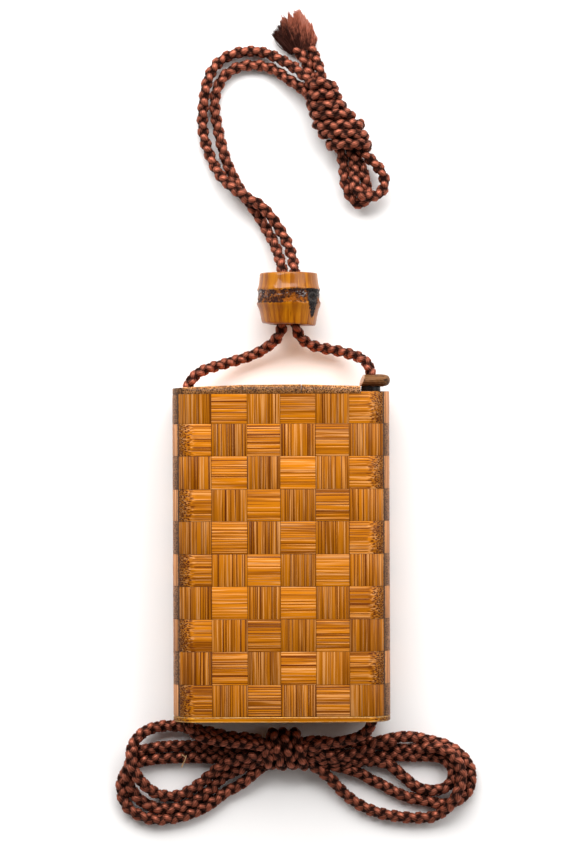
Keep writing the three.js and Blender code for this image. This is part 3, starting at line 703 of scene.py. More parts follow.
def straw_material(name):
    """A dry stalk: pale straw with darker stripes along it."""
    material, tree, shader, _, millimetres = start_material(name)
    stripes = noise_value(tree, vector_calc(tree, 'MULTIPLY', millimetres, (6.0, 1.2, 3.0)), 1.0, 2.0)
    straw = mix_colour(tree, spread(tree, stripes, 0.38, 0.62), (0.36, 0.19, 0.07), (0.66, 0.43, 0.22))
    fill_inputs(tree, shader, {"Base Color": straw, "Roughness": 0.5})
    return material


def floor_material(name):
    """A matt white table top, faintly cloudy."""
    material, tree, shader, _, millimetres = start_material(name)
    cloudy = noise_value(tree, millimetres, 0.004, 1.0)
    paper = mix_colour(tree, cloudy, (0.93, 0.915, 0.905), (0.945, 0.935, 0.93))
    fill_inputs(tree, shader, {"Base Color": paper, "Roughness": 0.9, "Specular IOR Level": 0.1})
    return material


def material_named(name, maker, *arguments):
    """The material of that name, made the first time it is asked for."""
    return bpy.data.materials.get(name) or maker(name, *arguments)


# Each bamboo: pale, middle and dark colour, bundle spacing, colour and amount of the edge marks (dark and
# worn; on the base, a pale painted highlight), roughness, coat, and whether a dark ragged line runs along the
# seam between the boards and the sides.

def golden_bamboo():
    case = bpy.context.scene.inro_case
    return material_named("golden parquetry bamboo", bamboo_material, case.pale, case.middle, case.dark,
                          case.bundle_spacing / MM, (0.09, 0.04, 0.012), 0.3, 0.38, 0.05, True)


# The sides' pale, pinkish colours are partly their own and partly a painted reflection of the white tent on
# these grazing faces.
def side_bamboo():
    return material_named("pinkish side bamboo", bamboo_material, (0.53, 0.25, 0.115),
                          (0.42, 0.17, 0.050), (0.20, 0.07, 0.018), 0.6, (0.06, 0.03, 0.018),
                          0.5, 0.45, 0.1, True)


def base_bamboo():
    # The pale edge colour on the base's rounded edges is a painted highlight.
    return material_named("base bamboo", bamboo_material, (0.66, 0.29, 0.012), (0.52, 0.175, 0.0),
                          (0.16, 0.035, 0.0), 0.6, (0.74, 0.46, 0.2), 0.5, 0.36, 0.05, False)


def lid_bamboo():
    return material_named("lid bamboo", bamboo_material, (0.60, 0.285, 0.115), (0.44, 0.175, 0.04),
                          (0.06, 0.016, 0.003), 0.50, (0.07, 0.03, 0.012), 0.7, 0.42, 0.1, False)


THREADS_ROUND_STRAND = 11.0


def silk():
    return material_named("braided silk", cord_material, bpy.context.scene.inro_cord,
                          THREADS_ROUND_STRAND)


# ---- mesh helpers ----

SHARP = math.radians(28)


def link_object(name, data):
    """A new object in the scene, at the origin."""
    thing = bpy.data.objects.new(name, data)
    bpy.context.scene.collection.objects.link(thing)
    return thing


def within_unit(value):
    return max(0.0, min(1.0, value))


def finish_piece(name, mesh, material, replaced=(), smooth=SHARP):
    """Link a mesh in metres as a piece, shade it, and hide the frame's parts that it stands for."""
    for polygon in mesh.polygons:
        polygon.use_smooth = True
    mesh.set_sharp_from_angle(angle=smooth)
    mesh.materials.clear()
    mesh.materials.append(material)
    piece = link_object(name, mesh)
    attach(piece, BODY)
    if replaced:
        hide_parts(*replaced)
    return piece


def mesh_from(shape, name):
    """A mesh in metres from a bmesh in millimetres."""
    bmesh.ops.scale(shape, vec=(MM, MM, MM), verts=shape.verts)
    mesh = bpy.data.meshes.new(name)
    shape.to_mesh(mesh)
    shape.free()
    return mesh


MARKS = ("direction", "seed", "tone", "edge")


def new_blocks():
    """An empty bmesh whose faces carry the marks that the bamboo reads."""
    shape = bmesh.new()
    for name in MARKS:
        shape.faces.layers.float.new(name)
    return shape


def add_block(shape, outline, reach, direction, seed, tone=1.0, bevel=0.0, segments=2):
    """Extrude an outline along reach, round its sharp edges, and mark its faces."""
    before = set(shape.faces)
    base = shape.faces.new([shape.verts.new(point) for point in outline])
    grown = bmesh.ops.extrude_face_region(shape, geom=[base])["geom"]
    far_verts = [part for part in grown if isinstance(part, bmesh.types.BMVert)]
    bmesh.ops.translate(shape, vec=reach, verts=far_verts)
    faces = [face for face in shape.faces if face not in before]
    bmesh.ops.recalc_face_normals(shape, faces=faces)
    edge_mark = shape.faces.layers.float["edge"]
    if bevel:
        sharp = {edge for face in faces for edge in face.edges if edge.calc_face_angle(0) > SHARP}
        bevelled = bmesh.ops.bevel(
            shape, geom=list(sharp), offset=bevel, offset_type='OFFSET', segments=segments,
            profile=0.5, affect='EDGES', material=-1, clamp_overlap=True)["faces"]
        for face in bevelled:
            face[edge_mark] = 1.0
    values = {"direction": direction, "seed": seed, "tone": tone}
    for name, value in values.items():
        layer = shape.faces.layers.float[name]
        for face in shape.faces:
            if face not in before:
                face[layer] = value


def drill(piece, places, low, high):
    """Drill cord channels along Y through a piece, at the given places across."""
    y0 = low - CUT_MARGIN
    y1 = high + CUT_MARGIN
    angles = [math.tau * k / BORE_SIDES for k in range(BORE_SIDES)]
    bores = new_blocks()
    for x in places:
        outline = [(x + BORE_RADIUS * math.cos(angle), y0, MID_Z + BORE_RADIUS * math.sin(angle))
                   for angle in angles]
        add_block(bores, outline, (0, y1 - y0, 0), ALONG_Y, 0.0, tone=0.5)
    carve(piece, bores)


def carve(piece, cutter_shape):
    """Cut a piece by a bmesh and apply the result to its mesh."""
    cutter = link_object("cutter", mesh_from(cutter_shape, "cutter"))
    cut = piece.modifiers.new("Cut", 'BOOLEAN')
    cut.operation = 'DIFFERENCE'
    cut.solver = 'EXACT'
    cut.object = cutter
    depsgraph = bpy.context.evaluated_depsgraph_get()
    mesh = bpy.data.meshes.new_from_object(piece.evaluated_get(depsgraph), depsgraph=depsgraph)
    mesh.set_sharp_from_angle(angle=SHARP)
    piece.modifiers.clear()
    piece.data = mesh
    bpy.data.objects.remove(cutter)


def corner(centre_x, centre_z, radius, start, end, steps=10):
    """Points of an arc in X and Z, angles in degrees."""
    angles = [math.radians(start + (end - start) * k / steps) for k in range(steps + 1)]
    return [(centre_x + radius * math.cos(a), centre_z + radius * math.sin(a)) for a in angles]


FLAT_HALF = HALF_WIDTH - CORNER_RADIUS
SEAM_ANGLE = math.degrees(math.asin((SEAM_Z - THICKNESS + CORNER_RADIUS) / CORNER_RADIUS))
UPPER_Z = THICKNESS - CORNER_RADIUS


def spin_profile(profile, centre, axis, steps, closed=True, merge=1e-4):
    """Turn a profile of (radius, distance along the axis) about an axis through centre."""
    shape = bmesh.new()
    along = Vector(axis)
    out = Vector((0, 0, 1))
    verts = [shape.verts.new(Vector(centre) + out * r + along * t) for r, t in profile]
    ends = verts[1:] + verts[:1] if closed else verts[1:]
    edges = [shape.edges.new(pair) for pair in zip(verts, ends)]
    bmesh.ops.spin(shape, geom=verts + edges, cent=centre, axis=along, dvec=(0, 0, 0),
                   angle=math.tau, steps=steps, use_merge=True, use_normal_flip=False,
                   use_duplicate=False)
    bmesh.ops.remove_doubles(shape, verts=shape.verts, dist=merge)
    bmesh.ops.recalc_face_normals(shape, faces=shape.faces)
    return shape


# ---- cord helpers ----

SAMPLE_STEP = 0.25


def smooth_line(points, step):
    """A centripetal Catmull-Rom line through the points, with even steps."""
    given = [Vector(point) for point in points]
    given = [2 * given[0] - given[1]] + given + [2 * given[-1] - given[-2]]
    dense = []
    for p0, p1, p2, p3 in zip(given, given[1:], given[2:], given[3:]):
        t1 = (p1 - p0).length ** 0.5
        t2 = t1 + (p2 - p1).length ** 0.5
        t3 = t2 + (p3 - p2).length ** 0.5
        pieces = max(4, math.ceil((p2 - p1).length / SAMPLE_STEP))
        for k in range(pieces):
            t = t1 + (t2 - t1) * k / pieces
            a1 = p0.lerp(p1, t / t1)
            a2 = p1.lerp(p2, (t - t1) / (t2 - t1))
            a3 = p2.lerp(p3, (t - t2) / (t3 - t2))
            b1 = a1.lerp(a2, t / t2)
            b2 = a2.lerp(a3, (t - t1) / (t3 - t1))
            dense.append(b1.lerp(b2, (t - t1) / (t2 - t1)))
    dense.append(given[-2])
    lengths = [0.0]
    for a, b in zip(dense, dense[1:]):
        lengths.append(lengths[-1] + (b - a).length)
    count = max(2, round(lengths[-1] / step))
    line, k = [], 0
    for i in range(count + 1):
        s = lengths[-1] * i / count
        while k < len(lengths) - 2 and lengths[k + 1] < s:
            k += 1
        share = (s - lengths[k]) / max(lengths[k + 1] - lengths[k], 1e-9)
        line.append(dense[k].lerp(dense[k + 1], min(1.0, share)))
    return line


def line_length(line):
    return sum((b - a).length for a, b in zip(line, line[1:]))


def carried_frames(line):
    """The side and up directions at each point, carried along the line without twist."""
    frames = []
    up = Vector((0, 0, 1))
    for i in range(len(line)):
        tangent = (line[min(i + 1, len(line) - 1)] - line[max(i - 1, 0)]).normalized()
        up = (up - tangent * up.dot(tangent)).normalized()
        frames.append((tangent.cross(up), up))
    return frames


def braid(name, line, diameter, replaced, seed):
    """Four strands plaited round a line: two turn one way and two the other, over and under."""
    cord = bpy.context.scene.inro_cord
    radius = diameter / MM / 2
    strand = STRAND_RADIUS * radius
    swing = STRAND_SWING * radius
    middle = radius - strand * (1 + STRAND_FULLER) - swing
    turn = math.tau / (cord.pitch / MM)
    step = line_length(line) / (len(line) - 1)
    frames = carried_frames(line)
    curve = round_curve(name, strand, 3)
    for way in (1, -1):
        for half in (0, 1):
            places, sizes = [], []
            for i, (point, (side, up)) in enumerate(zip(line, frames)):
                s = i * step
                even = way * turn * s + math.pi * half
                angle = even - STRAND_LINGER / 4 * math.sin(4 * even)
                over = way * math.cos(2 * angle)
                wander = WANDER_ANGLE * noise.noise((s / WANDER_LENGTH, seed, 0)) + math.pi / 4
                direction = up * math.cos(angle + wander) + side * math.sin(angle + wander)
                places.append(point + direction * (middle + swing * over))
                plump = PLUMP * noise.noise((s / PLUMP_LENGTH, seed + 5 * half, 7 * way))
                sizes.append(1 + STRAND_FULLER * over + plump)
            add_strand(curve, places, sizes)
    mesh = mesh_of_curve(curve, name)
    scale_uv(mesh, line_length(line))
    mark_depth(mesh, line, radius)
    return finish_piece(name, mesh, silk(), replaced, smooth=math.radians(60))


def round_curve(name, radius, resolution):
    """An empty curve whose strands are round, of that radius in millimetres, and closed at the ends."""
    curve = bpy.data.curves.new(name, 'CURVE')
    curve.dimensions = '3D'
    curve.bevel_depth = radius * MM
    curve.bevel_resolution = resolution
    curve.use_fill_caps = True
    return curve


def add_strand(curve, places, sizes):
    """Lay one strand of a curve through places in millimetres, with its size at each."""
    spline = curve.splines.new('POLY')
    spline.points.add(len(places) - 1)
    for point, place, size in zip(spline.points, places, sizes):
        point.co = (*(place * MM), 1)
        point.radius = size


def mark_depth(mesh, line, radius):
    """Mark how deep each point lies between the strands, from 0 on their crowns to 1 at the core; the silk is
    painted darker by it, as shade.
    """
    tree = KDTree(len(line))
    for i, point in enumerate(line):
        tree.insert(point, i)
    tree.balance()
    depth = mesh.attributes.new("depth", 'FLOAT', 'POINT')
    for i, vert in enumerate(mesh.vertices):
        place = vert.co / MM
        _, nearest, _ = tree.find(place)
        start, end = line[max(nearest - 1, 0)], line[min(nearest + 1, len(line) - 1)]
        along = (end - start).normalized()
        offset = place - line[nearest]
        reach = (offset - along * offset.dot(along)).length / radius
        depth.data[i].value = within_unit((CROWN_REACH - reach) / GROOVE_DEPTH)


def mesh_of_curve(curve, name):
    """The mesh of a curve with its bevel, as a new mesh; the curve goes."""
    holder = link_object(name, curve)
    depsgraph = bpy.context.evaluated_depsgraph_get()
    mesh = bpy.data.meshes.new_from_object(holder.evaluated_get(depsgraph), depsgraph=depsgraph)
    bpy.data.objects.remove(holder)
    bpy.data.curves.remove(curve)
    return mesh


def scale_uv(mesh, length):
    """Let the UV map's first number run in millimetres along the strand."""
    layer = mesh.uv_layers[0].data
    values = [0.0] * (2 * len(layer))
    layer.foreach_get("uv", values)
    values[0::2] = [value * length for value in values[0::2]]
    layer.foreach_set("uv", values)


def braid_step():
    """The distance between two points of a braid's middle line, in millimetres."""
    cord = bpy.context.scene.inro_cord
    return cord.pitch / MM / cord.steps


def end_knot_turns():
    """The turns of the end knot, wound upwards round its core."""
    points = []
    count = round((KNOT_END - KNOT_START) / math.tau * POINTS_PER_TURN)
    for k in range(count + 1):
        angle = KNOT_START + (KNOT_END - KNOT_START) * k / count
        place = (len(KNOT_TURNS) - 1) * k / count
        low = min(int(place), len(KNOT_TURNS) - 2)
        x, y, reach = Vector(KNOT_TURNS[low]).lerp(Vector(KNOT_TURNS[low + 1]), place - low)
        y += KNOT_SHIFT * noise.noise((angle / KNOT_SHIFT_ANGLE, 3, 0))
        reach += KNOT_SWELL * noise.noise((angle / KNOT_SWELL_ANGLE, 7, 0))
        points.append((x + reach * math.cos(angle), y + KNOT_SLOPE * reach * math.cos(angle),
                       KNOT_MIDDLE_Z + KNOT_RISE * math.sin(angle)))
    return points


def bow_wrap_turns():
    """The turns that bind the bow's middle, wound from left to right and slanting across the front."""
    points = []
    count = round(BOW_WRAP_TURNS * POINTS_PER_TURN)
    pitch = (BOW_WRAP_TO_X - BOW_WRAP_FROM_X) / BOW_WRAP_TURNS
    for k in range(count + 1):
        angle = BOW_WRAP_START + math.tau * BOW_WRAP_TURNS * k / count
        x = BOW_WRAP_FROM_X + pitch * (angle + math.sin(angle)) / math.tau
        points.append((x, BOW_WRAP_Y - BOW_WRAP_REACH * math.sin(angle),
                       BOW_WRAP_Z + BOW_WRAP_RISE * math.cos(angle)))
    return points


# ---- operators, one for each piece or group of like pieces ----

class INRO_OT_camera(bpy.types.Operator):
    """Sets the camera straight over the inro"""
    bl_idname = "inro.camera"
    bl_label = "Camera"

    OVER_X = 2.52
    OVER_Y = 33.3
    SENSOR_WIDTH = 36
    FAR_LIMIT = 10

    def execute(self, context):
        stage = context.scene.inro_stage
        data = bpy.data.cameras.new("camera")
        data.lens = stage.lens
        data.sensor_width = self.SENSOR_WIDTH
        data.clip_end = self.FAR_LIMIT
        camera = link_object("camera", data)
        camera.location = (self.OVER_X * MM, self.OVER_Y * MM, stage.height)
        camera.rotation_euler = (0, 0, stage.roll)
        context.scene.camera = camera
        return {'FINISHED'}


class INRO_OT_finishes(bpy.types.Operator):
    """Builds the shared grain, wear and thread effects"""
    bl_idname = "inro.finishes"
    bl_label = "Shared effects"

    def execute(self, context):
        build_grain_group()
        build_edge_group()
        build_thread_group()
        return {'FINISHED'}


class INRO_OT_bead(bpy.types.Operator):
    """Turns the bamboo bead and shapes its node"""
    bl_idname = "inro.bead"
    bl_label = "Bead"

    PROFILE = [
        (5.30, -7.1), (7.25, -7.1), (7.42, -6.98), (7.55, -6.6), (7.75, -5.6), (7.92, -4.6),
        (8.12, -3.6), (8.40, -2.7), (8.68, -2.05), (8.84, -1.6), (8.90, -1.2), (8.80, -0.9),
        (8.62, -0.5), (8.55, 0.1), (8.62, 0.7), (8.56, 1.3), (8.50, 1.8), (8.62, 2.2), (8.78, 2.5),
        (8.70, 2.85), (8.50, 3.3), (8.34, 4.0), (8.20, 5.0), (8.10, 6.0), (8.05, 6.7), (7.95, 7.0),
        (7.75, 7.1), (5.30, 7.1), (5.30, 2.1), (4.15, 1.6), (4.15, -0.1), (5.30, -0.7),
    ]
    STEPS = 160
    HALF_LENGTH = 7.1
    HOLLOW_RADIUS = 5.31
    NODE_Y = 0.6
    NODE_REACH = 2.3
    WAVE_REACH = 4.5
    FOOT_SLANT = 0.055
    BUD_X, BUD_Y = 6.9, 0.2
    BUD_HALF_X, BUD_HALF_Y = 1.25, 1.3
    BUD_DEPTH = 0.45
    SCAR_X = 6.7
    SCAR_LOW, SCAR_HIGH = -5.4, 2.6

    def execute(self, context):
        centre = BEAD_CENTRE
        shape = spin_profile(self.PROFILE, centre, (0, 1, 0), self.STEPS)
        shape.verts.layers.float.new("char")
        shape.verts.layers.float.new("scar")
        char, scar = (shape.verts.layers.float[name] for name in ("char", "scar"))
        for vert in shape.verts:
            self.shape_point(vert, centre, char, scar)
        mesh = mesh_from(shape, "ojime_bead_bamboo")
        finish_piece("ojime_bead_bamboo", mesh, material_named("polished bead bamboo", bead_material),
                     ["ojime_bead"], smooth=math.radians(50))
        return {'FINISHED'}

    def shape_point(self, vert, centre, char, scar):
        """Work one point of the turned wall: the wavy node, the bud scar and the oblique foot."""
        x, y, z = (vert.co[i] - centre[i] for i in range(3))
        radius = math.hypot(x, z)
        if radius < self.HOLLOW_RADIUS:
            return
        ring = Vector((x / radius, 0, z / radius)) * 1.6
        wave = noise.noise(ring + Vector((3, 0, 0))) * 0.55 + noise.noise(ring * 3.1) * 0.22
        in_node = max(0.0, 1 - abs(y - self.NODE_Y) / self.NODE_REACH)
        pits = noise.noise(Vector((x, y * 1.6, z)) * 0.95) * 0.5 + noise.noise(Vector((x, y, z)) * 2.2) * 0.25
        swell = in_node ** 0.5 * (pits * 0.55 - 0.12)
        if z > 0:
            bud = math.hypot((x - self.BUD_X) / self.BUD_HALF_X, (y - self.BUD_Y) / self.BUD_HALF_Y)
            swell -= self.BUD_DEPTH * max(0.0, 1 - bud)
        grown = min(radius + swell, BEAD_HIGH[2] - centre[2])
        shift = wave * max(0.0, 1 - abs(y - self.NODE_Y) / self.WAVE_REACH)
        foot = self.FOOT_SLANT * x * max(0.0, -y / self.HALF_LENGTH)
        vert.co = Vector(centre) + Vector((x * grown / radius, y + shift - foot, z * grown / radius))
        band = 1.0 - max(abs(y - 0.65) - 1.45, 0) / 0.9
        half = 1.7 if y > 1.9 else 1.15 if y > -1.2 else 1.15 + 0.27 * (y + 1.2)
        bud_scar = 1.0 - max(abs(x - self.SCAR_X - 0.06 * y) - half, 0) / 0.5
        bud_scar = bud_scar if z > 0 and self.SCAR_LOW < y < self.SCAR_HIGH else 0.0
        vert[char] = within_unit(max(band, bud_scar) * 0.75)
        vert[scar] = within_unit(bud_scar)


class INRO_OT_cord_stop(bpy.types.Operator):
    """Makes the twig bar and the black collar that stop the right cord"""
    bl_idname = "inro.cord_stop"
    bl_label = "Cord stop"

    COLLAR_EASE = 0.18
    COLLAR_STEPS = 64
    BAR_OUTLINE = [
        (0, -0.93), (0.30, -0.93), (0.60, -0.925), (0.84, -0.90), (0.93, -0.84), (0.97, -0.72),
        (1.0, -0.45), (0.99, -0.1), (0.99, 0.25), (0.96, 0.5), (0.88, 0.72), (0.74, 0.86),
        (0.55, 0.94), (0.30, 0.985), (0, 1.0),
    ]
    BAR_STEPS = 72
    SAWN_FROM = 0.86
    SAWN_SLANT_Y = 0.40
    SAWN_SLANT_Z = 0.35
    BAR_FULLER_Y = 1.06

    def execute(self, context):
        self.make_collar()
        self.make_bar()
        return {'FINISHED'}

    def make_collar(self):
        radius = (COLLAR_HIGH[0] - COLLAR_LOW[0]) / 2
        height = BAR_LOW[1] - COLLAR_LOW[1]
        ease = self.COLLAR_EASE
        profile = [
            (BORE_RADIUS, 0), (radius - ease, 0), (radius, ease), (radius, height - ease),
            (radius - ease, height), (BORE_RADIUS + ease, height), (BORE_RADIUS, height - ease),
        ]
        centre = (RIGHT_BORE_X, COLLAR_LOW[1], MID_Z)
        shape = spin_profile(profile, centre, (0, 1, 0), self.COLLAR_STEPS)
        mesh = mesh_from(shape, "horn_collar")
        finish_piece("horn_collar", mesh, material_named("black horn", collar_material),
                     ["cord_stop_collar"])

    def make_bar(self):
        """A flattened twig along X with a sawn left end and a rounded right end."""
        half = (BAR_HIGH[0] - BAR_LOW[0]) / 2
        deep = (BAR_HIGH[2] - BAR_LOW[2]) / 2
        centre = Vector(BAR_CENTRE)
        flatten = (BAR_HIGH[1] - BAR_LOW[1]) / 2 / deep
        profile = [(r * deep, t * half) for r, t in self.BAR_OUTLINE]
        shape = spin_profile(profile, centre, (1, 0, 0), self.BAR_STEPS, closed=False, merge=1e-3)
        sawn = shape.faces.layers.float.new("sawn")
        sawn_end = centre.x - self.SAWN_FROM * half
        for face in shape.faces:
            face[sawn] = 1.0 if face.calc_center_median().x < sawn_end else 0.0
        for vert in shape.verts:
            offset = vert.co - centre
            lump = 1 + 0.05 * noise.noise(offset * 0.55) + 0.03 * noise.noise(offset * 1.6)
            left = max(0.0, -offset.x / half)
            slant = left * (self.SAWN_SLANT_Z * offset.z / deep + self.SAWN_SLANT_Y * offset.y * flatten)
            breadth = offset.y * lump * flatten * self.BAR_FULLER_Y
            vert.co = centre + Vector((offset.x + slant, breadth, offset.z * lump))
        mesh = mesh_from(shape, "twig_bar")
        bar = finish_piece("twig_bar", mesh, material_named("twig wood", twig_material),
                           ["cord_stop_bar"])
        drill(bar, [RIGHT_BORE_X], BAR_LOW[1], BAR_HIGH[1])


class INRO_OT_tuft(bpy.types.Operator):
    """Combs out the frayed ends of the cord"""
    bl_idname = "inro.tuft"
    bl_label = "Frayed tuft"

    ROOTS = [(3.0, 139.7, 1.9), (5.2, 140.0, 2.6), (7.4, 141.0, 2.6), (9.4, 142.0, 1.9)]
    TIPS = [
        (-1.9, 144.3, 1.4), (-1.0, 146.3, 2.6), (0.3, 147.9, 1.8), (1.1, 150.0, 2.8),
        (3.2, 150.9, 3.2), (5.0, 151.6, 2.2), (6.5, 150.8, 3.0), (7.9, 148.8, 1.8), (9.1, 146.4, 2.2),
        (9.8, 144.2, 1.4),
    ]
    LOCKS = 14
    FIBRES = 70
    FIBRE_RADIUS = 0.1
    FIBRE_STEPS = 6
    LOWEST_Z = 0.15

    def along(self, points, share):
        """The place at a share of the way along a row of points."""
        place = share * (len(points) - 1)
        low = min(int(place), len(points) - 2)
        return Vector(points[low]).lerp(Vector(points[low + 1]), place - low)

    def execute(self, context):
        draw = random.Random(11)
        curve = round_curve("frayed_tuft", self.FIBRE_RADIUS, 0)
        for lock in range(self.LOCKS):
            share = (lock + 0.5) / self.LOCKS + draw.uniform(-0.02, 0.02)
            root = self.along(self.ROOTS, share)
            astray = (draw.uniform(-0.3, 0.3), draw.uniform(-0.5, 0.2), draw.uniform(-0.3, 1.2))
            tip = self.along(self.TIPS, share) + Vector(astray)
            for _ in range(self.FIBRES):
                self.add_fibre(curve, draw, root, tip)
        frayed_silk = material_named("frayed silk", tuft_material, context.scene.inro_cord)
        finish_piece("frayed_tuft", mesh_of_curve(curve, "frayed_tuft"), frayed_silk,
                     ["frayed_ends"], smooth=math.radians(80))
        return {'FINISHED'}

    def add_fibre(self, curve, draw, root, tip):
        """One fibre of a lock: gathered at its root, fuller in the middle, drawn in at its tip."""
        around = Vector((draw.gauss(0, 1), draw.gauss(0, 1), draw.gauss(0, 1)))
        reach = draw.uniform(0.86, 1.03)
        bend = Vector((draw.gauss(0, 0.25), draw.gauss(0, 0.25), draw.gauss(0, 0.2)))
        shares = [k / self.FIBRE_STEPS for k in range(self.FIBRE_STEPS + 1)]
        places = []
        for share in shares:
            t = share * reach
            belly = 0.42 + 0.30 * math.sin(math.pi * min(1.0, t)) + 0.12 * t
            place = root.lerp(tip, t) + around * belly * 0.62 + bend * math.sin(math.pi * t) * 1.2
            place.z = max(self.LOWEST_Z, place.z)
            places.append(place)
        add_strand(curve, places, [1.0 - 0.5 * share ** 3 for share in shares])


class INRO_OT_long_cords(bpy.types.Operator):
    """Plaits the two long cords, through the case and the bead to the end knot"""
    bl_idname = "inro.long_cords"
    bl_label = "Long cords"

    def execute(self, context):
        diameter = context.scene.inro_cord.diameter
        left_points = LEFT_IN_BOW + LEFT_ROUTE + LEFT_END_LOOP + end_knot_turns() + LEFT_END
        left = smooth_line(left_points, braid_step())
        piece = braid("left_cord_braid", left, diameter, ["cord_left", "end_knot"], 1.0)
        right = smooth_line(RIGHT_IN_BOW + RIGHT_ROUTE + RIGHT_END_LOOP, braid_step())
        piece = braid("right_cord_braid", right, diameter, ["cord_right"], 2.0)
        return {'FINISHED'}


class INRO_OT_bow(bpy.types.Operator):
    """Plaits the bow under the base, with its binding turns"""
    bl_idname = "inro.bow"
    bl_label = "Bow"

    STALKS = (
        [(-28.2, -60.5, 3.35), (-27.8, -59.6, 3.6), (-27.2, -58.3, 3.85), (-26.8, -57.1, 3.9)],
        [(-28.1, -56.9, 3.8), (-27.5, -57.3, 3.85), (-27.0, -57.7, 3.9)],
    )
    STALK_RADIUS = 0.16
    STALK_STEP = 0.3

    def execute(self, context):
        line = smooth_line(BOW_ROUTE + bow_wrap_turns() + BOW_END, braid_step())
        diameter = context.scene.inro_cord.bow_diameter
        piece = braid("bow_braid", line, diameter, ["bow_knot", "bow_loops_left", "bow_loops_right"], 3.0)
        self.drop_straw()
        return {'FINISHED'}

    def drop_straw(self):
        """Lay the small broken straw that is caught on the left loops."""
        curve = round_curve("caught_straw", self.STALK_RADIUS, 2)
        for stalk in self.STALKS:
            line = smooth_line(stalk, self.STALK_STEP)
            add_strand(curve, line, [1.1 - 0.5 * k / len(line) for k in range(len(line))])
        finish_piece("caught_straw", mesh_of_curve(curve, "caught_straw"),
                     material_named("dry straw", straw_material))


def upside_down(outline):
    """An outline of the front turned over for the back."""
    return [(x, THICKNESS - z) for x, z in outline]


def panel_section(x0, x1, gap):
    """The section of one column of tiles of the front board."""
    low = THICKNESS - TILE_THICKNESS
    step_x = SEAM_X - TILE_STEP
    if x0 <= -SEAM_X:
        arc = corner(-FLAT_HALF, UPPER_Z, CORNER_RADIUS, 90, 180 - SEAM_ANGLE)
        return [(-step_x, SEAM_Z), (-step_x, low), (x1 - gap, low), (x1 - gap, THICKNESS)] + arc
    if x1 >= SEAM_X:
        arc = corner(FLAT_HALF, UPPER_Z, CORNER_RADIUS, SEAM_ANGLE, 90)
        return [(step_x, SEAM_Z)] + arc + [(x0 + gap, THICKNESS), (x0 + gap, low), (step_x, low)]
    return [(x0 + gap, low), (x1 - gap, low), (x1 - gap, THICKNESS), (x0 + gap, THICKNESS)]


class INRO_OT_panels(bpy.types.Operator):
    """Lays the checkerboard parquetry of the front and the back"""
    bl_idname = "inro.panels"
    bl_label = "Parquetry panels"

    # Tiles whose fibres run across are painted brighter and tiles whose fibres run along painted darker: a
    # painted sheen and shade for how the fibres catch the softbox over the lid's end.
    ACROSS_SHEEN_TONE = 1.13
    ALONG_SHADE_TONE = 0.86
    LOWEST_ROW_TONE = 0.95
    ROW_TONE_STEP = 0.01

    def execute(self, context):
        self.make_panel("front_parquetry", "front_panel", lambda outline: outline, 21)
        self.make_panel("back_parquetry", "back_panel", upside_down, 22)
        return {'FINISHED'}

    def make_panel(self, name, node, turn, seed):
        case = bpy.context.scene.inro_case
        gap = case.joint_gap / MM / 2
        bevel = case.tile_bevel / MM
        draw = random.Random(seed)
        columns = (-SEAM_X, *COLUMN_JOINTS, SEAM_X)
        rows = (BASE_TOP, *ROW_JOINTS, HIGH_RIM)
        shape = new_blocks()
        core_x = SEAM_X - CORE_INSET
        core_z = THICKNESS - TILE_THICKNESS - CORE_GAP
        core = [(-core_x, SEAM_Z), (core_x, SEAM_Z), (core_x, core_z), (-core_x, core_z)]
        self.add_bar(shape, turn(core), BASE_TOP, HIGH_RIM, ALONG_X, 0.0, 0.25, 0.0)
        for row, (y0, y1) in enumerate(zip(rows, rows[1:])):
            for column, (x0, x1) in enumerate(zip(columns, columns[1:])):
                across = (row + column) % 2 == 0
                # Painted sheen and shade by the way the fibres run, on top of a random tone.
                tone = draw.uniform(0.9, 1.1) * (self.ACROSS_SHEEN_TONE if across else self.ALONG_SHADE_TONE)
                tone *= self.LOWEST_ROW_TONE + self.ROW_TONE_STEP * row
                self.add_bar(shape, turn(panel_section(x0, x1, gap)), y0 + gap, y1 - gap,
                             ALONG_X if across else ALONG_Y, draw.uniform(1, 9), tone, bevel)
        piece = finish_piece(name, mesh_from(shape, name), golden_bamboo(), [node])
        step = new_blocks()
        left, low, high = -HALF_WIDTH - CUT_MARGIN, -CUT_MARGIN, THICKNESS + CUT_MARGIN
        outline = [(left, RIM, low), (LID_END, RIM, low), (LID_END, RIM, high), (left, RIM, high)]
        add_block(step, outline, (0, HIGH_RIM - RIM + CUT_MARGIN, 0), ALONG_X, 2.0)
        carve(piece, step)

    def add_bar(self, shape, section, y0, y1, direction, seed, tone, bevel):
        add_block(shape, [(x, y0, z) for x, z in section], (0, y1 - y0, 0), direction, seed, tone, bevel)


def side_section():
    """The section of the right side block."""
    lower = corner(FLAT_HALF, CORNER_RADIUS, CORNER_RADIUS, -SEAM_ANGLE, 0, 6)
    upper = corner(FLAT_HALF, UPPER_Z, CORNER_RADIUS, 0, SEAM_ANGLE, 6)
    return [(CAVITY_HALF, THICKNESS - SEAM_Z)] + lower + upper + [(CAVITY_HALF, SEAM_Z)]


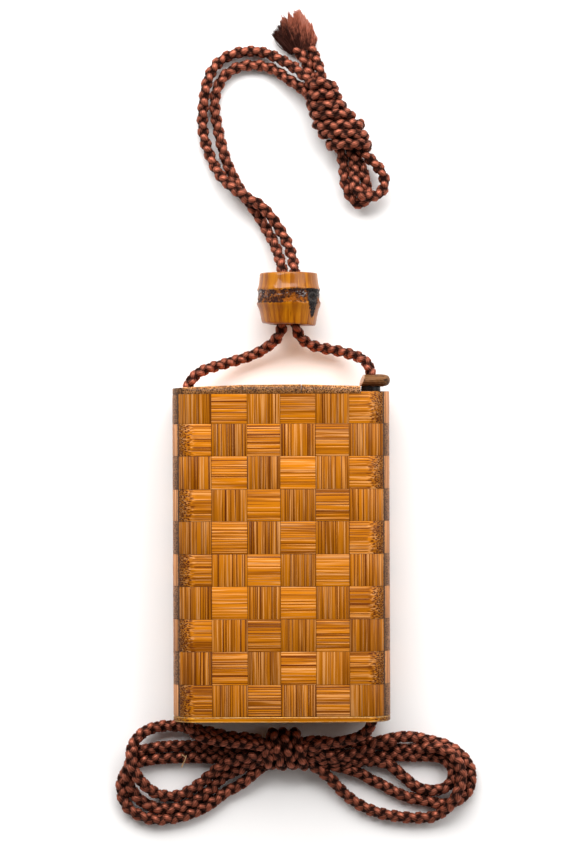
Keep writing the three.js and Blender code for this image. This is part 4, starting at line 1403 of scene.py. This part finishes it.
class INRO_OT_sides(bpy.types.Operator):
    """Builds the two side blocks with their cord channels"""
    bl_idname = "inro.sides"
    bl_label = "Sides"

    PALE_TONE = 1.18
    DARK_TONE = 0.75

    def execute(self, context):
        self.make_side("left_side_blocks", "left_side", -1, RIM, LEFT_BORE_X, 31)
        self.make_side("right_side_blocks", "right_side", 1, HIGH_RIM, RIGHT_BORE_X, 32)
        return {'FINISHED'}

    def make_side(self, name, node, hand, top, bore_x, seed):
        case = bpy.context.scene.inro_case
        gap = case.joint_gap / MM / 2
        draw = random.Random(seed)
        rows = (BASE_TOP, *ROW_JOINTS, top)
        shape = new_blocks()
        for row, (y0, y1) in enumerate(zip(rows, rows[1:])):
            pale = (row % 2 == 0) == (hand < 0)
            outline = [(hand * x, y0 + gap, z) for x, z in side_section()]
            tone = self.PALE_TONE if pale else self.DARK_TONE
            add_block(shape, outline, (0, y1 - y0 - 2 * gap, 0), ALONG_Y if pale else ALONG_Z,
                      draw.uniform(1, 9), tone * draw.uniform(0.95, 1.05), case.tile_bevel / MM)
        piece = finish_piece(name, mesh_from(shape, name), side_bamboo(), [node])
        drill(piece, [bore_x], BASE_TOP, top)


def full_outline(steps):
    """The whole rounded section of the case."""
    return (corner(FLAT_HALF, CORNER_RADIUS, CORNER_RADIUS, -90, 0, steps)
            + corner(FLAT_HALF, UPPER_Z, CORNER_RADIUS, 0, 90, steps)
            + corner(-FLAT_HALF, UPPER_Z, CORNER_RADIUS, 90, 180, steps)
            + corner(-FLAT_HALF, CORNER_RADIUS, CORNER_RADIUS, 180, 270, steps))


class INRO_OT_base(bpy.types.Operator):
    """Builds the base plate with its two cord holes"""
    bl_idname = "inro.base"
    bl_label = "Base"

    EDGE = 0.34
    EDGE_STEPS = 3
    CORNER_STEPS = 12

    def execute(self, context):
        shape = new_blocks()
        gap = context.scene.inro_case.joint_gap / MM
        outline = [(x, BASE_LOW[1], z) for x, z in full_outline(self.CORNER_STEPS)]
        add_block(shape, outline, (0, BASE_HIGH[1] - BASE_LOW[1] - gap, 0), ALONG_X, 4.4,
                  bevel=self.EDGE, segments=self.EDGE_STEPS)
        piece = finish_piece("base_board", mesh_from(shape, "base_board"), base_bamboo(),
                             ["base_plate"])
        drill(piece, [LEFT_BORE_X, RIGHT_BORE_X], BASE_LOW[1], BASE_HIGH[1])
        return {'FINISHED'}


class INRO_OT_lid(bpy.types.Operator):
    """Builds the lift-off lid, its rounded shoulders and its lip"""
    bl_idname = "inro.lid"
    bl_label = "Lid"

    TONES = (0.74, 1.16, 1.08, 1.3)
    EDGE = 0.12
    CORNER_STEPS = 12
    SHOULDER_STEPS = 8
    # Faces turned more than this towards the lid's end get a painted highlight: their tone is raised by the
    # next number.
    LIT_FACING = 0.62
    HIGHLIGHT_TONE = 1.6
    RIM_GAP = 0.05

    def execute(self, context):
        draw = random.Random(41)
        gap = context.scene.inro_case.joint_gap / MM
        joints = (-HALF_WIDTH, *LID_JOINTS, LID_END)
        shape = new_blocks()
        for x0, x1, tone in zip(joints, joints[1:], self.TONES):
            outline = [(x0 + 2 * gap, y, z) for y, z in self.shoulder_profile()]
            add_block(shape, outline, (x1 - x0 - 4 * gap, 0, 0), ALONG_Z, draw.uniform(1, 9), tone,
                      self.EDGE)
        self.round_corners(shape)
        self.highlight_shoulder(shape)
        half = CAVITY_HALF - LIP_CLEARANCE
        low = THICKNESS - SEAM_Z + LIP_CLEARANCE
        high = SEAM_Z - LIP_CLEARANCE
        corners = ((-half, low), (half, low), (half, high), (-half, high))
        lip = [(x, RIM - LIP_DEPTH, z) for x, z in corners]
        add_block(shape, lip, (0, LIP_DEPTH + LIP_SUNK, 0), ALONG_X, 5.0, 0.8)
        piece = finish_piece("lid_board", mesh_from(shape, "lid_board"), lid_bamboo(),
                             ["lid"])
        drill(piece, [LEFT_BORE_X], RIM, LID_HIGH[1])
        return {'FINISHED'}

    def round_corners(self, shape):
        """Divide the blocks across, lower them to the case's rounded section, and arch the top."""
        for k in range(1, self.CORNER_STEPS):
            x = -FLAT_HALF - CORNER_RADIUS * math.sin(math.pi / 2 * k / self.CORNER_STEPS)
            whole = list(shape.verts) + list(shape.edges) + list(shape.faces)
            bmesh.ops.bisect_plane(shape, geom=whole, plane_co=(x, 0, 0), plane_no=(1, 0, 0))
        for vert in shape.verts:
            out = max(0.0, -vert.co.x - FLAT_HALF)
            inset = CORNER_RADIUS - math.sqrt(max(0.0, CORNER_RADIUS ** 2 - out ** 2))
            vert.co.z = max(inset, min(THICKNESS - inset, vert.co.z))
            if vert.co.y > RIM + 0.5:
                vert.co.y -= ARCH_DROP * (vert.co.x / HALF_WIDTH) ** 2

    def highlight_shoulder(self, shape):
        """Paint the upper part of the rounded edge, which faces the key light, paler: a painted highlight."""
        shape.normal_update()
        tone = shape.faces.layers.float["tone"]
        for face in shape.faces:
            if face.normal.y > self.LIT_FACING:
                face[tone] *= self.HIGHLIGHT_TONE

    def shoulder_profile(self):
        """The lid's section along Y and Z, rounded over at the front and back."""
        low = RIM + self.RIM_GAP
        top = LID_HIGH[1]
        angles = [math.pi / 2 * k / self.SHOULDER_STEPS for k in range(self.SHOULDER_STEPS + 1)]
        back = [(top - SHOULDER + SHOULDER * math.sin(a), SHOULDER - SHOULDER * math.cos(a))
                for a in angles]
        front = [(y, THICKNESS - z) for y, z in reversed(back)]
        return [(low, 0.0)] + back + front + [(low, THICKNESS)]


class INRO_OT_stage(bpy.types.Operator):
    """Sets the white table, the tent and the two softboxes"""
    bl_idname = "inro.stage"
    bl_label = "Table and lights"

    TABLE_HALF = 4000
    TABLE_GAP = 0.05
    TENT_SIDES = (1, 0.94, 0.895)
    TENT_OVERHEAD = (0.05, 0.046, 0.044)
    LIT_PLACE = (0, 0.03, 0)

    def execute(self, context):
        self.make_table()
        self.make_tent(context.scene)
        stage = context.scene.inro_stage
        self.make_softbox("key_softbox", (-0.10, 0.52, 0.46), (1.00, 0.45), stage.key)
        self.make_softbox("fill_softbox", (0.48, 0.25, 0.45), (0.50, 0.50), stage.fill)
        context.scene.view_settings.view_transform = 'Standard'
        return {'FINISHED'}

    def make_table(self):
        shape = bmesh.new()
        bmesh.ops.create_grid(shape, x_segments=1, y_segments=1, size=self.TABLE_HALF)
        bmesh.ops.translate(shape, vec=(0, 0, -self.TABLE_GAP), verts=shape.verts)
        mesh = mesh_from(shape, "table")
        mesh.materials.append(material_named("white table", floor_material))
        table = link_object("table", mesh)

    def make_tent(self, scene):
        """A white surround, bright at the sides and dimmer overhead."""
        world = bpy.data.worlds.new("tent")
        world.use_nodes = True
        tree = world.node_tree
        background = tree.nodes["Background"]
        direction = add_node(tree, "ShaderNodeTexCoord").outputs["Generated"]
        _, _, height = split(tree, direction)
        overhead = spread(tree, height, 0.25, 0.95)
        fill_inputs(tree, background, {
            "Color": mix_colour(tree, overhead, self.TENT_SIDES, self.TENT_OVERHEAD),
            "Strength": scene.inro_stage.surround})
        scene.world = world

    def make_softbox(self, name, place, size, power):
        """A rectangular softbox at a place and of a size in metres, aimed at the case."""
        light = bpy.data.lights.new(name, 'AREA')
        light.shape = 'RECTANGLE'
        light.size, light.size_y = size
        light.energy = power
        softbox = link_object(name, light)
        aim = Vector(self.LIT_PLACE) - Vector(place)
        softbox.location = place
        softbox.rotation_euler = aim.to_track_quat('-Z', 'Y').to_euler()


MAKERS = (
    INRO_OT_camera, INRO_OT_finishes, INRO_OT_bead, INRO_OT_cord_stop, INRO_OT_tuft,
    INRO_OT_long_cords, INRO_OT_bow, INRO_OT_panels, INRO_OT_sides, INRO_OT_base, INRO_OT_lid,
    INRO_OT_stage,
)
SETTINGS = {"inro_case": CaseSettings, "inro_cord": CordSettings, "inro_stage": StageSettings}


def register():
    for name, group in SETTINGS.items():
        bpy.utils.register_class(group)
        setattr(bpy.types.Scene, name, PointerProperty(type=group))
    for maker in MAKERS:
        bpy.utils.register_class(maker)
    bpy.utils.register_class(PANEL_PT_inro)


def unregister():
    bpy.utils.unregister_class(PANEL_PT_inro)
    for maker in reversed(MAKERS):
        bpy.utils.unregister_class(maker)
    for name, group in SETTINGS.items():
        delattr(bpy.types.Scene, name)
        bpy.utils.unregister_class(group)


def main():
    register()
    for maker in MAKERS:
        _, name = maker.bl_idname.split(".")
        getattr(bpy.ops.inro, name)()


if __name__ == "__main__":
    main()
